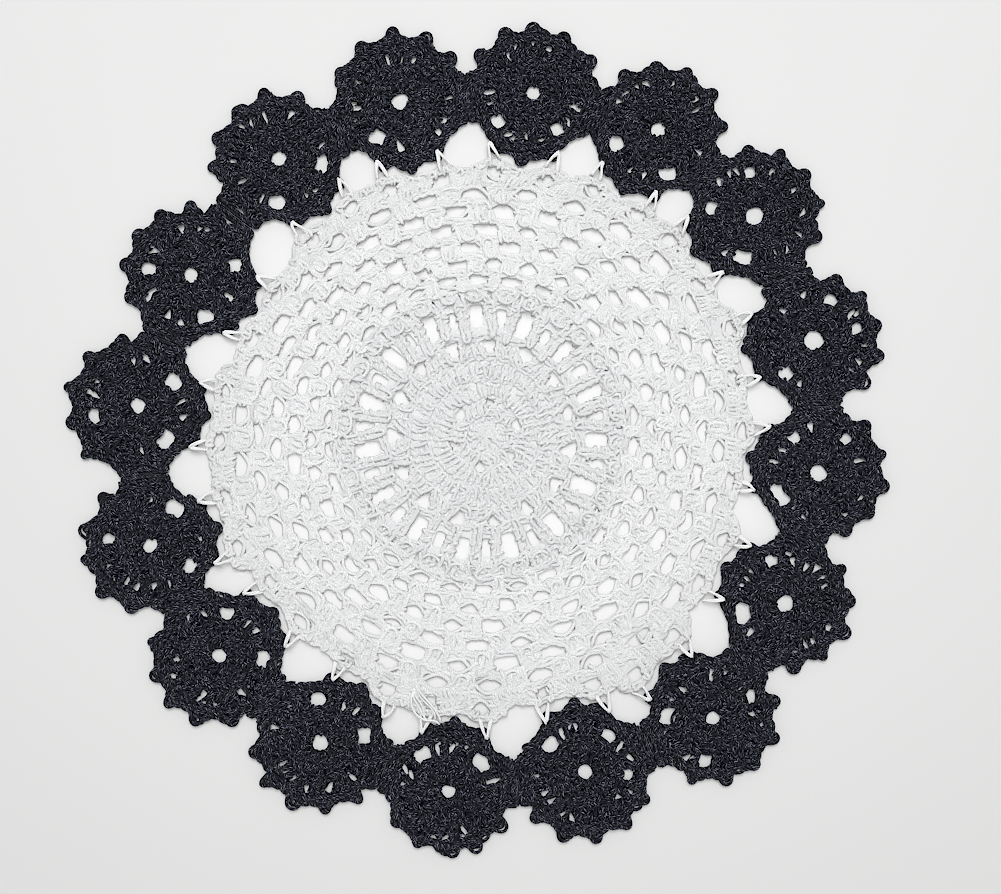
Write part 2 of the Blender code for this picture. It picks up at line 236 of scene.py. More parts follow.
@dataclass(frozen=True)
class Pattern:
    """The doily's plan: every outline and gap that the solids have.

    The picots, the bump between the white ones and the dips are radii from a motif's middle, and
    the angles there are counted from its neighbour or from its inward direction. tab is how far
    the white edge reaches out to a picot.
    """

    piece_gap: float = 0.3
    free_picot: float = 28.8
    joined_picot: float = 31.5
    white_picot: float = 29.2
    bump: float = 30.4
    outer_dip: float = 24.8
    side_dip: float = 25.6
    inner_dip: float = 27.0
    neck_angle: float = 15.0
    white_angle: float = 25.0
    free_picots: int = 5
    free_span: Span = (3.4, 9.0)
    joined_span: Span = (5.5, 10.5)
    inner_span: Span = (3.2, 7.5)
    root_rise: float = 0.4
    crown: float = 0.6
    gap_radius: float = 17.4
    gap_angle: float = 42.0
    gap_aspect: float = 0.8
    outer_gap_radius: float = 16.6
    hole_sides: int = 12
    tab: float = 2.2
    arch_half: float = 4.76
    arch_fall: float = 0.9
    trapezoid_dip: float = 2.0
    edge_gap_depth: float = 6.9
    edge_gap_width: float = 8.4
    edge_gap_shift: float = 1.3
    edge_gap_height: float = 4.6
    drift: Span = (-2.0, 0.8)
    drift_radius: float = 50.0
    edge_round: float = 104.2
    uneven_size: float = 0.12
    uneven_place: float = 0.5

    def centre_of(self, index: int) -> Place:
        """Middle of a motif, counted around the border."""
        row = MOTIFS[index % len(MOTIFS)]
        return along(row.place, row.reach)

    def inward(self, index: int) -> float:
        """Direction in which a motif faces the white centre."""
        row = MOTIFS[index % len(MOTIFS)]
        return row.place + 180.0 + row.turn

    def picots(self, index: int) -> list[Picot]:
        """List a motif's twelve picots, counter-clockwise.

        Args:
            index: The motif, counted around the border.

        Returns:
            The picots, the two joined to the last neighbour first.
        """
        row = MOTIFS[index]
        centre = self.centre_of(index)
        to_next = direction_of(self.centre_of(index + 1) - centre)
        to_last = direction_of(self.centre_of(index - 1) - centre)
        facing = self.inward(index)
        start = to_last + self.neck_angle
        step = (to_next - self.neck_angle - start) % 360.0 / (self.free_picots + 1)
        outer = self.outer_dip * row.size
        joined = (self.joined_picot, self.joined_span, 0.0)
        white = (self.white_picot, self.inner_span, 0.0)
        found = [
            Picot(to_last - self.neck_angle, *joined, self.side_dip),
            Picot(start, *joined, outer),
        ]
        for number in range(1, self.free_picots + 1):
            radius = self.free_picot * row.size + self.uneven_place * uneven(index, number)
            direction = start + step * number + row.lean
            found.append(Picot(direction, radius, self.free_span, self.crown, outer))
        found += [
            Picot(to_next - self.neck_angle, *joined, self.side_dip),
            Picot(to_next + self.neck_angle, *joined, self.outer_dip),
            Picot(facing - self.white_angle, *white, self.inner_dip),
            Picot(facing, self.bump, self.inner_span, 0.0, self.inner_dip),
            Picot(facing + self.white_angle, *white, self.outer_dip),
        ]
        return found

    def inside_seams(self, points: np.ndarray, index: int, space: float) -> np.ndarray:
        """Move points of a motif back to the seam lines between it and its two neighbours.

        Args:
            points: Places, one a row.
            index: The motif that they belong to.
            space: How far short of the seam line they stay.

        Returns:
            The places, none of them past a seam line.
        """
        centre = self.centre_of(index)
        for other in (index - 1, index + 1):
            span = self.centre_of(other) - centre
            normal = span / np.linalg.norm(span)
            excess = (points - centre) @ normal - np.linalg.norm(span) / 2 + space
            points = points - np.maximum(excess, 0.0)[:, None] * normal
        return points

    def motif_outline(self, index: int) -> np.ndarray:
        """Find the outline of a motif: its picots, with a dip after each.

        Args:
            index: The motif.

        Returns:
            Its corners, one a row.
        """
        centre = self.centre_of(index)
        picots = self.picots(index)
        points = []
        for last, here, after in zip(picots[-1:] + picots, picots, picots[1:] + picots[:1]):
            tip, root = here.span
            halfway = (after.direction - here.direction) % 360.0 / 2
            points += [
                along(here.direction - root, last.dip + self.root_rise),
                along(here.direction - tip, here.radius - here.crown),
                along(here.direction, here.radius),
                along(here.direction + tip, here.radius - here.crown),
                along(here.direction + root, here.dip + self.root_rise),
                along(here.direction + halfway, here.dip),
            ]
        return self.inside_seams(centre + np.array(points), index, self.piece_gap / 2)

    def motif_gaps(self, index: int, room: float) -> list[np.ndarray]:
        """Find the centre hole and the post gaps of a motif.

        Args:
            index: The motif.
            room: How much wider than in the solids each gap is, all round.

        Returns:
            The corners of each gap, the hole first.
        """
        row = MOTIFS[index]
        centre = self.centre_of(index)
        step = 360.0 / self.hole_sides
        hole = [along(step * side, row.hole / 2 + room) for side in range(self.hole_sides)]
        gaps = [centre + np.array(hole)]
        for side, width in ((-1.0, row.gap_cw), (1.0, row.gap_ccw)):
            if width > 0.0:
                direction = self.inward(index) + side * self.gap_angle
                middle = centre + along(direction, self.gap_radius)
                height = width * self.gap_aspect
                gaps.append(gap_outline(middle, direction, width + 2 * room, height + 2 * room))
        for gap in OUTER_GAPS:
            if gap.motif == index:
                direction = self.inward(index) + gap.direction
                middle = centre + along(direction, self.outer_gap_radius)
                wide = gap.width + 2 * room
                gaps.append(gap_outline(middle, direction, wide, wide))
        return gaps

    def joint(self, index: int, side: int) -> tuple[Place, Place]:
        """Find where the white edge meets a motif.

        Args:
            index: The motif.
            side: 1 for the joint at the motif's clockwise end, and -1 for the other one.

        Returns:
            The two corners of the edge's tab, counter-clockwise.
        """
        centre = self.centre_of(index)
        direction = self.inward(index) + side * self.white_angle
        reach = self.white_picot + self.piece_gap
        tip = self.inner_span[0]
        return centre + along(direction + tip, reach), centre + along(direction - tip, reach)

    def edge_radius(self, angle: float) -> float:
        """Find the radius of the last round of gaps, blended between the motifs.

        Args:
            angle: The direction from the origin.

        Returns:
            The radius.
        """
        stations = [(row.place, row.reach) for row in MOTIFS]
        stations.append((MOTIFS[0].place + 360.0, MOTIFS[0].reach))
        angle = (angle - MOTIFS[0].place) % 360.0 + MOTIFS[0].place
        reach = MOTIFS[0].reach
        for (start, low), (end, high) in zip(stations, stations[1:]):
            if start <= angle <= end:
                reach = low + (high - low) * smooth((angle - start) / (end - start))
                break
        tab_reach = self.white_picot * math.cos(math.radians(self.white_angle))
        return reach - tab_reach - self.edge_gap_depth

    def on_round(self, radius: float, angle: float) -> Place:
        """Find a place on a white round: rounds drift off the ring and spread to meet the motifs.

        Args:
            radius: The round's usual radius.
            angle: The direction from the origin.

        Returns:
            The place.
        """
        lean = np.array(self.drift)
        spread = max(radius - self.drift_radius, 0.0) / (self.edge_round - self.drift_radius)
        extra = self.edge_radius(angle) - self.edge_round - along(angle, 1.0) @ lean
        drift = smooth(min(radius / self.drift_radius, 1.0))
        return along(angle, radius + extra * spread) + lean * drift

    def centre_gaps(self, room: float) -> list[np.ndarray]:
        """Find all gaps through the white centre, round after round.

        Args:
            room: How far each gap is widened inward and outward, and half of that to each side.

        Returns:
            The corners of each gap, those along the edge last.
        """
        gaps = []
        level = 0
        for row in ROUNDS:
            if row.gap == 0.0:
                continue
            for number in range(row.groups):
                angle = row.first + 360.0 / row.groups * number
                scale = row.alternate if number % 2 else 1.0
                shift = 0.0
                if row.in_solids:
                    scale *= 1.0 + self.uneven_size * uneven(number, level)
                    shift = self.uneven_place * uneven(level + 3, number)
                middle = self.on_round((row.low + row.high) / 2 + shift, angle)
                wide = row.gap * scale + room
                high = row.height * scale + 2 * room
                shape = GapShape.OPEN if room > 0.0 and row.shape is GapShape.LENS else row.shape
                gaps.append(gap_outline(middle, angle, wide, high, shape))
            level += row.in_solids
        for index in range(len(MOTIFS)):
            for side in (1, -1):
                middle = sum(self.joint(index, side)) / 2
                angle = direction_of(middle) + side * self.edge_gap_shift
                middle = along(angle, np.linalg.norm(middle) - self.edge_gap_depth - room)
                width = self.edge_gap_width * (1.0 + self.uneven_size * uneven(index, side)) + room
                shape = GapShape.OPEN if room > 0.0 else GapShape.LENS
                gaps.append(gap_outline(middle, angle, width, self.edge_gap_height + 2 * room, shape))
        return gaps

    def edge_path(self, inset: float) -> np.ndarray:
        """Find the line of the last white arches, a little inside the centre's outline.

        Args:
            inset: How far inside the outline the line runs.

        Returns:
            Places around the edge: a crest at each joint, with low places beside and after it.
        """
        points = []
        for index in range(len(MOTIFS)):
            centre = self.centre_of(index)
            for side in (1, -1):
                first, second = self.joint(index, side)
                angle = direction_of(first + second)
                up = along(angle, 1.0)
                aside = along(angle + 90.0, 1.0)
                crest = (first + second) / 2 - up * (self.tab + inset)
                low = crest - up * self.arch_fall
                wide = aside * self.arch_half
                points += [low - wide, crest, low + wide]
                if side == 1:
                    reach = self.bump + self.piece_gap + inset
                    points.append(centre + along(self.inward(index), reach))
            here = self.joint(index, -1)[1]
            after = self.joint(index + 1, 1)[0]
            low = min(np.linalg.norm(here), np.linalg.norm(after)) - self.tab
            middle = direction_of(here / np.linalg.norm(here) + after / np.linalg.norm(after))
            points.append(along(middle, low - self.trapezoid_dip - inset))
        return np.array(points)


# ---------------------------------------------------------------- small helpers


def along(direction: float, length: float) -> Place:
    """Place at a length from the origin, in a direction given in degrees."""
    angle = math.radians(direction)
    return np.array((math.cos(angle), math.sin(angle))) * length


def direction_of(place: Place) -> float:
    """Direction of a place in degrees."""
    return math.degrees(math.atan2(place[1], place[0]))


def turn_between(start: float, end: float) -> float:
    """Signed turn from one direction to another, between -180 and 180 degrees."""
    return (end - start + 180.0) % 360.0 - 180.0


def smooth(share: float) -> float:
    """Ease a share from 0 to 1 in and out."""
    return share * share * (3.0 - 2.0 * share)


def uneven(first: float, second: float) -> float:
    """Repeatable unevenness of handwork, between -1 and 1."""
    return math.sin(2.3 * first + 1.7 * second + 1.3 * math.sin(0.9 * first - second))


def leg_width(arc: float, posts: int, thinnest: float) -> float:
    """Half width of each of some posts that share an arc, no wider than the yarn allows."""
    return min(max(arc / posts / 4, thinnest), WIDEST_LEG)


def gap_outline(
    middle: Place, outward: float, width: float, height: float, shape: GapShape = GapShape.LENS
) -> np.ndarray:
    """Corners of one gap.

    Args:
        middle: Its middle.
        outward: The direction that its height runs in.
        width: Its size across that direction.
        height: Its size along it.
        shape: Its kind of outline.

    Returns:
        Its corners, one a row.
    """
    up = along(outward, 1.0)
    across = along(outward - 90.0, 1.0)
    return np.array([middle + across * width / 2 * u + up * height / 2 * v for u, v in shape.value])


def rounded(points: np.ndarray, steps: int) -> np.ndarray:
    """Smooth closed line through some points.

    Args:
        points: The points in order.
        steps: How many places to find between two of them.

    Returns:
        Places along the line.
    """
    before, start, end, after = (np.roll(points, shift, axis=0) for shift in (1, 0, -1, -2))
    share = (np.arange(steps) / steps)[:, None, None]
    bend = 2 * before - 5 * start + 4 * end - after
    twist = 3 * start - before - 3 * end + after
    line = 0.5 * (2 * start + (end - before) * share + bend * share**2 + twist * share**3)
    return line.swapaxes(0, 1).reshape(-1, 2)


def is_inside(places: np.ndarray, loop: np.ndarray) -> np.ndarray:
    """Find which places lie inside a closed loop.

    Args:
        places: Places, one a row.
        loop: Corners of the loop.

    Returns:
        True for each place inside it.
    """
    start, end = loop, np.roll(loop, -1, axis=0)
    slope = (end[:, 0] - start[:, 0]) / np.where(end[:, 1] == start[:, 1], 1.0, end[:, 1] - start[:, 1])
    across, up = places[:, :1], places[:, 1:]
    crossed = (start[:, 1] > up) != (end[:, 1] > up)
    return (crossed & (across < start[:, 0] + (up - start[:, 1]) * slope)).sum(axis=1) % 2 == 1


class Reach:
    """How far a closed line lies from a middle, by direction."""

    def __init__(self, line: np.ndarray, middle: Place) -> None:
        """Sort the line's places by direction.

        Args:
            line: Places along it.
            middle: Where it is seen from.
        """
        away = line - middle
        turns = np.degrees(np.arctan2(away[:, 1], away[:, 0])) % 360.0
        order = np.argsort(turns)
        self.turns = turns[order]
        self.lengths = np.linalg.norm(away, axis=1)[order]

    def at(self, turn: float) -> float:
        """Distance from the middle to the line in a direction."""
        return np.interp(turn % 360.0, self.turns, self.lengths, period=360.0)


def add_object(name: str, data: bpy.types.ID, place: Vector | tuple = (0.0, 0.0, 0.0)) -> bpy.types.Object:
    """Make an object and put it in the scene.

    Args:
        name: Its name.
        data: Its mesh, curve, light or camera.
        place: Where it stands.

    Returns:
        The object.
    """
    thing = bpy.data.objects.new(name, data)
    thing.location = place
    bpy.context.scene.collection.objects.link(thing)
    return thing


def select_only(thing: bpy.types.Object) -> None:
    """Select one object and make it the active one.

    Args:
        thing: The object.
    """
    bpy.ops.object.select_all(action="DESELECT")
    thing.select_set(True)
    bpy.context.view_layer.objects.active = thing


def finish_mesh(
    thing: bpy.types.Object, material: bpy.types.Material, repair: Callable[[], object]
) -> bpy.types.Object:
    """Repair the active mesh, turn its faces outward and give it its finish.

    Args:
        thing: The active object.
        material: Its finish.
        repair: What to do with all of its mesh selected.

    Returns:
        The same object.
    """
    bpy.ops.object.mode_set(mode="EDIT")
    bpy.ops.mesh.select_all(action="SELECT")
    repair()
    bpy.ops.mesh.select_all(action="SELECT")
    bpy.ops.mesh.normals_make_consistent(inside=False)
    bpy.ops.object.mode_set(mode="OBJECT")
    thing.data.materials.append(material)
    return thing


# ---------------------------------------------------------------- finishes


class Wiring:
    """Adds and links nodes of one tree."""

    def __init__(self, tree: bpy.types.NodeTree) -> None:
        """Take the tree to work on."""
        self.tree = tree

    def node(
        self, kind: str, inputs: dict[str | int, object] | None = None, **settings: object
    ) -> bpy.types.Node:
        """Add a node.

        Args:
            kind: Its type.
            inputs: What goes into its sockets, by name or number: an output or a plain value.
            **settings: Its properties.

        Returns:
            The node.
        """
        made = self.tree.nodes.new(kind)
        for label, value in settings.items():
            setattr(made, label, value)
        for label, value in (inputs or {}).items():
            self.put(value, made.inputs[label])
        return made

    def put(self, value: object, socket: bpy.types.NodeSocket) -> None:
        """Link an output into a socket, or set a plain value on it.

        Args:
            value: The output or the value.
            socket: Where it goes.
        """
        if isinstance(value, bpy.types.NodeSocket):
            self.tree.links.new(value, socket)
        else:
            socket.default_value = value

    def maths(self, operation: str, first: object, second: object = 0.0) -> bpy.types.NodeSocket:
        """Add a Math node and return its output."""
        return self.node("ShaderNodeMath", {0: first, 1: second}, operation=operation).outputs[0]

    def blend(self, share: object, first: object, second: object) -> bpy.types.NodeSocket:
        """Mix two colours by a share and return the result."""
        return self.node("ShaderNodeMix", {0: share, 6: first, 7: second}, data_type="RGBA").outputs[2]

    def noise(self, place: object, scale: float, detail: float, swirl: float = 0.0) -> bpy.types.NodeSocket:
        """Add an even noise over some places and return its value."""
        inputs = {"Vector": place, "Scale": scale, "Detail": detail, "Distortion": swirl}
        return self.node("ShaderNodeTexNoise", inputs).outputs["Fac"]

    def ramp(self, value: object, low: object, high: object) -> bpy.types.NodeSocket:
        """Return a smooth step of a value, from 0 at a low one to 1 at a high one."""
        inputs = {"Value": value, "From Min": low, "From Max": high}
        return self.node("ShaderNodeMapRange", inputs, interpolation_type="SMOOTHSTEP").outputs[0]

    def relief(self, height: object, strength: float, depth: float) -> bpy.types.NodeSocket:
        """Return a normal bumped by a height, whose depth is in millimetres."""
        inputs = {"Height": height, "Strength": strength, "Distance": depth * MM}
        return self.node("ShaderNodeBump", inputs).outputs[0]

    def turned(self, normal: object, source: str, target: str) -> bpy.types.NodeSocket:
        """Carry a normal from one space into another and return it."""
        spaces = {"vector_type": "NORMAL", "convert_from": source, "convert_to": target}
        return self.node("ShaderNodeVectorTransform", {0: normal}, **spaces).outputs[0]


def new_material(name: str) -> tuple[bpy.types.Material, Wiring, bpy.types.Node]:
    """Start a material.

    Args:
        name: Its name.

    Returns:
        The material, its wiring and its shader.
    """
    material = bpy.data.materials.new(name)
    material.use_nodes = True
    return material, Wiring(material.node_tree), material.node_tree.nodes["Principled BSDF"]


def ply_group() -> bpy.types.NodeTree:
    """Build the shared effect of plies: strands twisted together along the yarn.

    Returns:
        A group with the height of the plies, a mask of the hollows between them for painted shade, and a
        mask of painted glints on their crests.
    """
    name = "Yarn plies"
    if name in bpy.data.node_groups:
        return bpy.data.node_groups[name]
    fibres_across, fibres_along, fibre_detail, fibre_height = 1.8, 0.4, 2.0, 0.25
    groove_shade_edge, crest_edge, glint_edge = 2.2, 3.0, 0.14
    group = bpy.data.node_groups.new(name, "ShaderNodeTree")
    group.interface.new_socket("Strand", in_out="INPUT", socket_type="NodeSocketVector")
    for label in ("Plies", "Turn", "Glint"):
        group.interface.new_socket(label, in_out="INPUT", socket_type="NodeSocketFloat")
    for label in ("Height", "Groove", "Glint"):
        group.interface.new_socket(label, in_out="OUTPUT", socket_type="NodeSocketFloat")
    wiring = Wiring(group)
    given = wiring.node("NodeGroupInput").outputs
    strand = wiring.node("ShaderNodeSeparateXYZ", {0: given["Strand"]}).outputs
    turns = wiring.maths("DIVIDE", strand["Y"], given["Turn"])
    phase = wiring.maths("MULTIPLY", wiring.maths("ADD", strand["X"], turns), given["Plies"])
    ridge = wiring.maths("ABSOLUTE", wiring.maths("SINE", wiring.maths("MULTIPLY", phase, math.pi)))
    across = wiring.maths("MULTIPLY", phase, fibres_across)
    onward = wiring.maths("MULTIPLY", strand["Y"], fibres_along)
    place = wiring.node("ShaderNodeCombineXYZ", {0: across, 1: onward}).outputs[0]
    fibres = wiring.noise(place, 1.0, fibre_detail)
    glint_streaks = wiring.ramp(fibres, given["Glint"], wiring.maths("ADD", given["Glint"], glint_edge))
    # The second output marks the hollows between plies for painted shade, and the third their crests for
    # painted glints.
    results = {
        "Height": wiring.maths("ADD", ridge, wiring.maths("MULTIPLY", fibres, fibre_height)),
        "Groove": wiring.maths("POWER", wiring.maths("SUBTRACT", 1.0, ridge), groove_shade_edge),
        "Glint": wiring.maths("MULTIPLY", glint_streaks, wiring.maths("POWER", ridge, crest_edge)),
    }
    wiring.node("NodeGroupOutput", results)
    return group


@dataclass(frozen=True)
class YarnFinish:
    """Plied cotton yarn of one colour.

    level is how far its normals turn towards the cloth's own. plies and turn are the number of
    plies and the length of one turn of them; depths are millimetres.
    """

    name: str
    colour: Colour
    # Painted shade: the dark colour laid in the grooves between plies, and the dark end of each strand's
    # tone.
    groove_shade: Colour
    # Colour laid on the plies' crests: a fleck in the yarn and, on the navy yarn, mostly a painted glint.
    fleck_and_glint: Colour
    # Painted shade: the darker colour of the sheet under the stitches, seen only in the hollows between
    # strands.
    under: Colour
    glint_from: float
    roughness: float
    shine: float
    sheen: float
    bump: float
    level: float = 0.0
    plies: float = 3.0
    turn: float = 3.4
    ply_depth: float = 0.25
    felt_depth: float = 0.3
    felt_scale: float = 900.0
    felt_detail: float = 4.0
    fibre_scale: float = 1300.0
    fibre_detail: float = 1.0
    fibre_swirl: float = 1.6
    fibre_glint: Span = (0.04, 0.24)

    def strand(self) -> bpy.types.Material:
        """Make the material of yarn laid as strands, which follows each strand's own map.

        Returns:
            The material.
        """
        material, wiring, shader = new_material(self.name)
        place = wiring.node("ShaderNodeUVMap", uv_map=Skein.MAP).outputs[0]
        inputs = {"Strand": place, "Plies": self.plies, "Turn": self.turn, "Glint": self.glint_from}
        plies = wiring.node("ShaderNodeGroup", inputs, node_tree=ply_group()).outputs
        tone = wiring.node("ShaderNodeAttribute", attribute_name=Skein.TONE).outputs["Fac"]
        # Each strand's tone blends between the painted shade colour and the yarn's own colour.
        base = wiring.blend(tone, self.groove_shade, self.colour)
        # Painted glints, with some fleck, on the plies' crests.
        glinted = wiring.blend(plies["Glint"], base, self.fleck_and_glint)
        # Painted shade in the grooves between plies, over everything else.
        wiring.put(wiring.blend(plies["Groove"], glinted, self.groove_shade), shader.inputs["Base Color"])
        normal = self.levelled(wiring, wiring.relief(plies["Height"], self.bump, self.ply_depth))
        wiring.put(normal, shader.inputs["Normal"])
        self.set_shine(shader, self.shine)
        return material

    def felted(self) -> bpy.types.Material:
        """Make the material of the close yarn under the stitches, from its place in the piece. It is darker
        than the strands: painted shade for the hollows between them.

        Returns:
            The material.
        """
        material, wiring, shader = new_material(f"{self.name}_under")
        place = wiring.node("ShaderNodeTexCoord").outputs["Object"]
        felt = wiring.noise(place, self.felt_scale, self.felt_detail)
        fibres = wiring.noise(place, self.fibre_scale, self.fibre_detail, self.fibre_swirl)
        low, high = (self.glint_from + above for above in self.fibre_glint)
        # Painted shade: a mottle of two colours, both darker than the strands.
        base = wiring.blend(felt, self.groove_shade, self.under)
        # Painted glints, with some fleck, along its fibres.
        glinted = wiring.blend(wiring.ramp(fibres, low, high), base, self.fleck_and_glint)
        wiring.put(glinted, shader.inputs["Base Color"])
        wiring.put(wiring.relief(felt, self.bump, self.felt_depth), shader.inputs["Normal"])
        self.set_shine(shader, 0.0)
        return material

    def levelled(self, wiring: Wiring, normal: bpy.types.NodeSocket) -> bpy.types.NodeSocket:
        """Turn a normal towards the cloth's own, as light spreads inside a pale loose yarn.

        Args:
            wiring: The material's nodes.
            normal: The normal of the strand.

        Returns:
            The turned normal, which stays on its own side of the cloth.
        """
        own = wiring.turned(wiring.node("ShaderNodeNewGeometry").outputs["True Normal"], "WORLD", "OBJECT")
        height = wiring.node("ShaderNodeSeparateXYZ", {0: own}).outputs["Z"]
        side = wiring.node("ShaderNodeCombineXYZ", {"Z": wiring.maths("SIGN", height)}).outputs[0]
        cloth = wiring.turned(side, "OBJECT", "WORLD")
        mixed = wiring.node("ShaderNodeMix", {0: self.level, 4: normal, 5: cloth}, data_type="VECTOR")
        return wiring.node("ShaderNodeVectorMath", {0: mixed.outputs[1]}, operation="NORMALIZE").outputs[0]

    def set_shine(self, shader: bpy.types.Node, shine: float) -> None:
        """Set the even values of the finish on the shader's own sockets.

        Args:
            shader: The shader.
            shine: How strongly it mirrors.
        """
        even = {"Roughness": self.roughness, "Specular IOR Level": shine, "Sheen Weight": self.sheen}
        for label, value in even.items():
            shader.inputs[label].default_value = value


WHITE_YARN = YarnFinish(
    name="white_cotton",
    colour=(0.885, 0.888, 0.890, 1.0),
    groove_shade=(0.588, 0.592, 0.598, 1.0),
    fleck_and_glint=(0.83, 0.833, 0.835, 1.0),
    under=(0.73, 0.735, 0.74, 1.0),
    glint_from=0.52,
    roughness=0.85,
    shine=0.3,
    sheen=0.1,
    bump=0.6,
    level=0.45,
)
NAVY_YARN = YarnFinish(
    name="navy_cotton",
    colour=(0.0205, 0.0230, 0.0395, 1.0),
    groove_shade=(0.0015, 0.0015, 0.003, 1.0),
    fleck_and_glint=(0.28, 0.298, 0.375, 1.0),
    under=(0.006, 0.006, 0.011, 1.0),
    glint_from=0.495,
    roughness=0.5,
    shine=0.2,
    sheen=0.0,
    bump=1.0,
)


# ---------------------------------------------------------------- yarn and stitches


@dataclass
class Skein:
    """Yarn of one piece: strands are laid as paths, then made into one mesh.

    tone is the brightness of its strands, spread by a beta distribution of two weights.
    """

    MAP = "UVMap"
    TONE = "tone"
    SIDES = 4

    name: str
    radius: float
    seed: int
    tone: float = 0.53
    tone_weights: Span = (4.0, 1.6)
    longest_shift: float = 40.0
    order: int = 4
    smoothness: int = 2
    paths: list[np.ndarray] = field(default_factory=list)
    thickness: list[float] = field(default_factory=list)
    # Strands drawn at the yarn's full colour, as a painted highlight.
    painted_lit: list[bool] = field(default_factory=list)

    def __post_init__(self) -> None:
        """Start the piece's own repeatable unevenness."""
        self.rng = np.random.default_rng(self.seed)

    def lay(self, path: np.ndarray, thickness: float = 1.0, painted_lit: bool = False) -> None:
        """Lay one strand along a path of places with heights.

        Args:
            path: The places, one a row.
            thickness: How thick it is beside the usual strand.
            painted_lit: Whether it is drawn at the yarn's full colour: a painted highlight for a strand
                that stands clear of the rest.
        """
        path[:, 2] = np.maximum(path[:, 2], self.radius * thickness)
        self.paths.append(path)
        self.thickness.append(thickness)
        self.painted_lit.append(painted_lit)

    def make(self, material: bpy.types.Material) -> bpy.types.Object:
        """Turn all strands into one mesh with a map along each strand.

        Args:
            material: The yarn's finish.

        Returns:
            The finished piece.
        """
        curve = bpy.data.curves.new(self.name, "CURVE")
        curve.dimensions = "3D"
        curve.bevel_mode = "OBJECT"
        curve.bevel_object = self.cross_section()
        for path, thickness in zip(self.paths, self.thickness):
            spline = curve.splines.new("NURBS")
            spline.points.add(len(path) - 1)
            corners = np.ones((len(path), 4))
            corners[:, :3] = path * MM
            spline.points.foreach_set("co", corners.ravel())
            spline.points.foreach_set("radius", np.full(len(path), thickness))
            spline.order_u = min(self.order, len(path))
            spline.use_endpoint_u = True
            spline.resolution_u = self.smoothness
        select_only(add_object(self.name, curve))
        bpy.ops.object.convert(target="MESH")
        thing = bpy.context.object
        bpy.data.objects.remove(curve.bevel_object, do_unlink=True)
        self.map_strands(thing.data)
        finish_mesh(thing, material, lambda: bpy.ops.mesh.fill_holes(sides=self.SIDES))
        bpy.ops.object.shade_smooth()
        return thing

    def cross_section(self) -> bpy.types.Object:
        """Make the round profile that is drawn along every strand.

        Returns:
            The profile.
        """
        profile = bpy.data.curves.new(f"{self.name}_profile", "CURVE")
        spline = profile.splines.new("POLY")
        spline.points.add(self.SIDES - 1)
        for side, point in enumerate(spline.points):
            point.co = (*along(360.0 / self.SIDES * side, self.radius * MM), 0.0, 1.0)
        spline.use_cyclic_u = True
        return add_object(profile.name, profile)

    def map_strands(self, mesh: bpy.types.Mesh) -> None:
        """Write the map along and around each strand, in millimetres and turns, and its tone.

        Args:
            mesh: The strands as open tubes, ring after ring.
        """
        places = np.empty(len(mesh.vertices) * 3)
        mesh.vertices.foreach_get("co", places)
        middles = places.reshape(-1, self.SIDES, 3).mean(axis=1) / MM
        rings = [(len(path) - 1) * self.smoothness for path in self.paths]
        strand = np.repeat(np.arange(len(rings)), rings)
        run = np.cumsum(np.linalg.norm(np.diff(middles, axis=0, prepend=middles[:1]), axis=1))
        starts = np.concatenate(([0], np.cumsum(rings)[:-1]))
        shifts = self.rng.uniform(0.0, self.longest_shift, len(rings)) - run[starts]
        run = run + shifts[strand]
        corners = np.empty(len(mesh.loops), dtype=np.int64)
        mesh.loops.foreach_get("vertex_index", corners)
        by_face = (corners % self.SIDES).reshape(-1, 4)
        crosses = (by_face == self.SIDES - 1).any(axis=1, keepdims=True) & (by_face == 0)
        around = (by_face + crosses * self.SIDES) / self.SIDES
        layer = mesh.uv_layers[0] if mesh.uv_layers else mesh.uv_layers.new(name=self.MAP)
        layer.name = self.MAP
        layer.data.foreach_set("uv", np.stack((around.ravel(), run[corners // self.SIDES]), 1).ravel())
        # Marked strands get the full colour, a painted highlight; the others a random tone.
        tones = np.where(self.painted_lit, 1.0, self.tone * self.rng.beta(*self.tone_weights, len(rings)))
        tone = mesh.attributes.new(self.TONE, "FLOAT", "POINT")
        tone.data.foreach_set("value", np.repeat(tones[strand], self.SIDES))


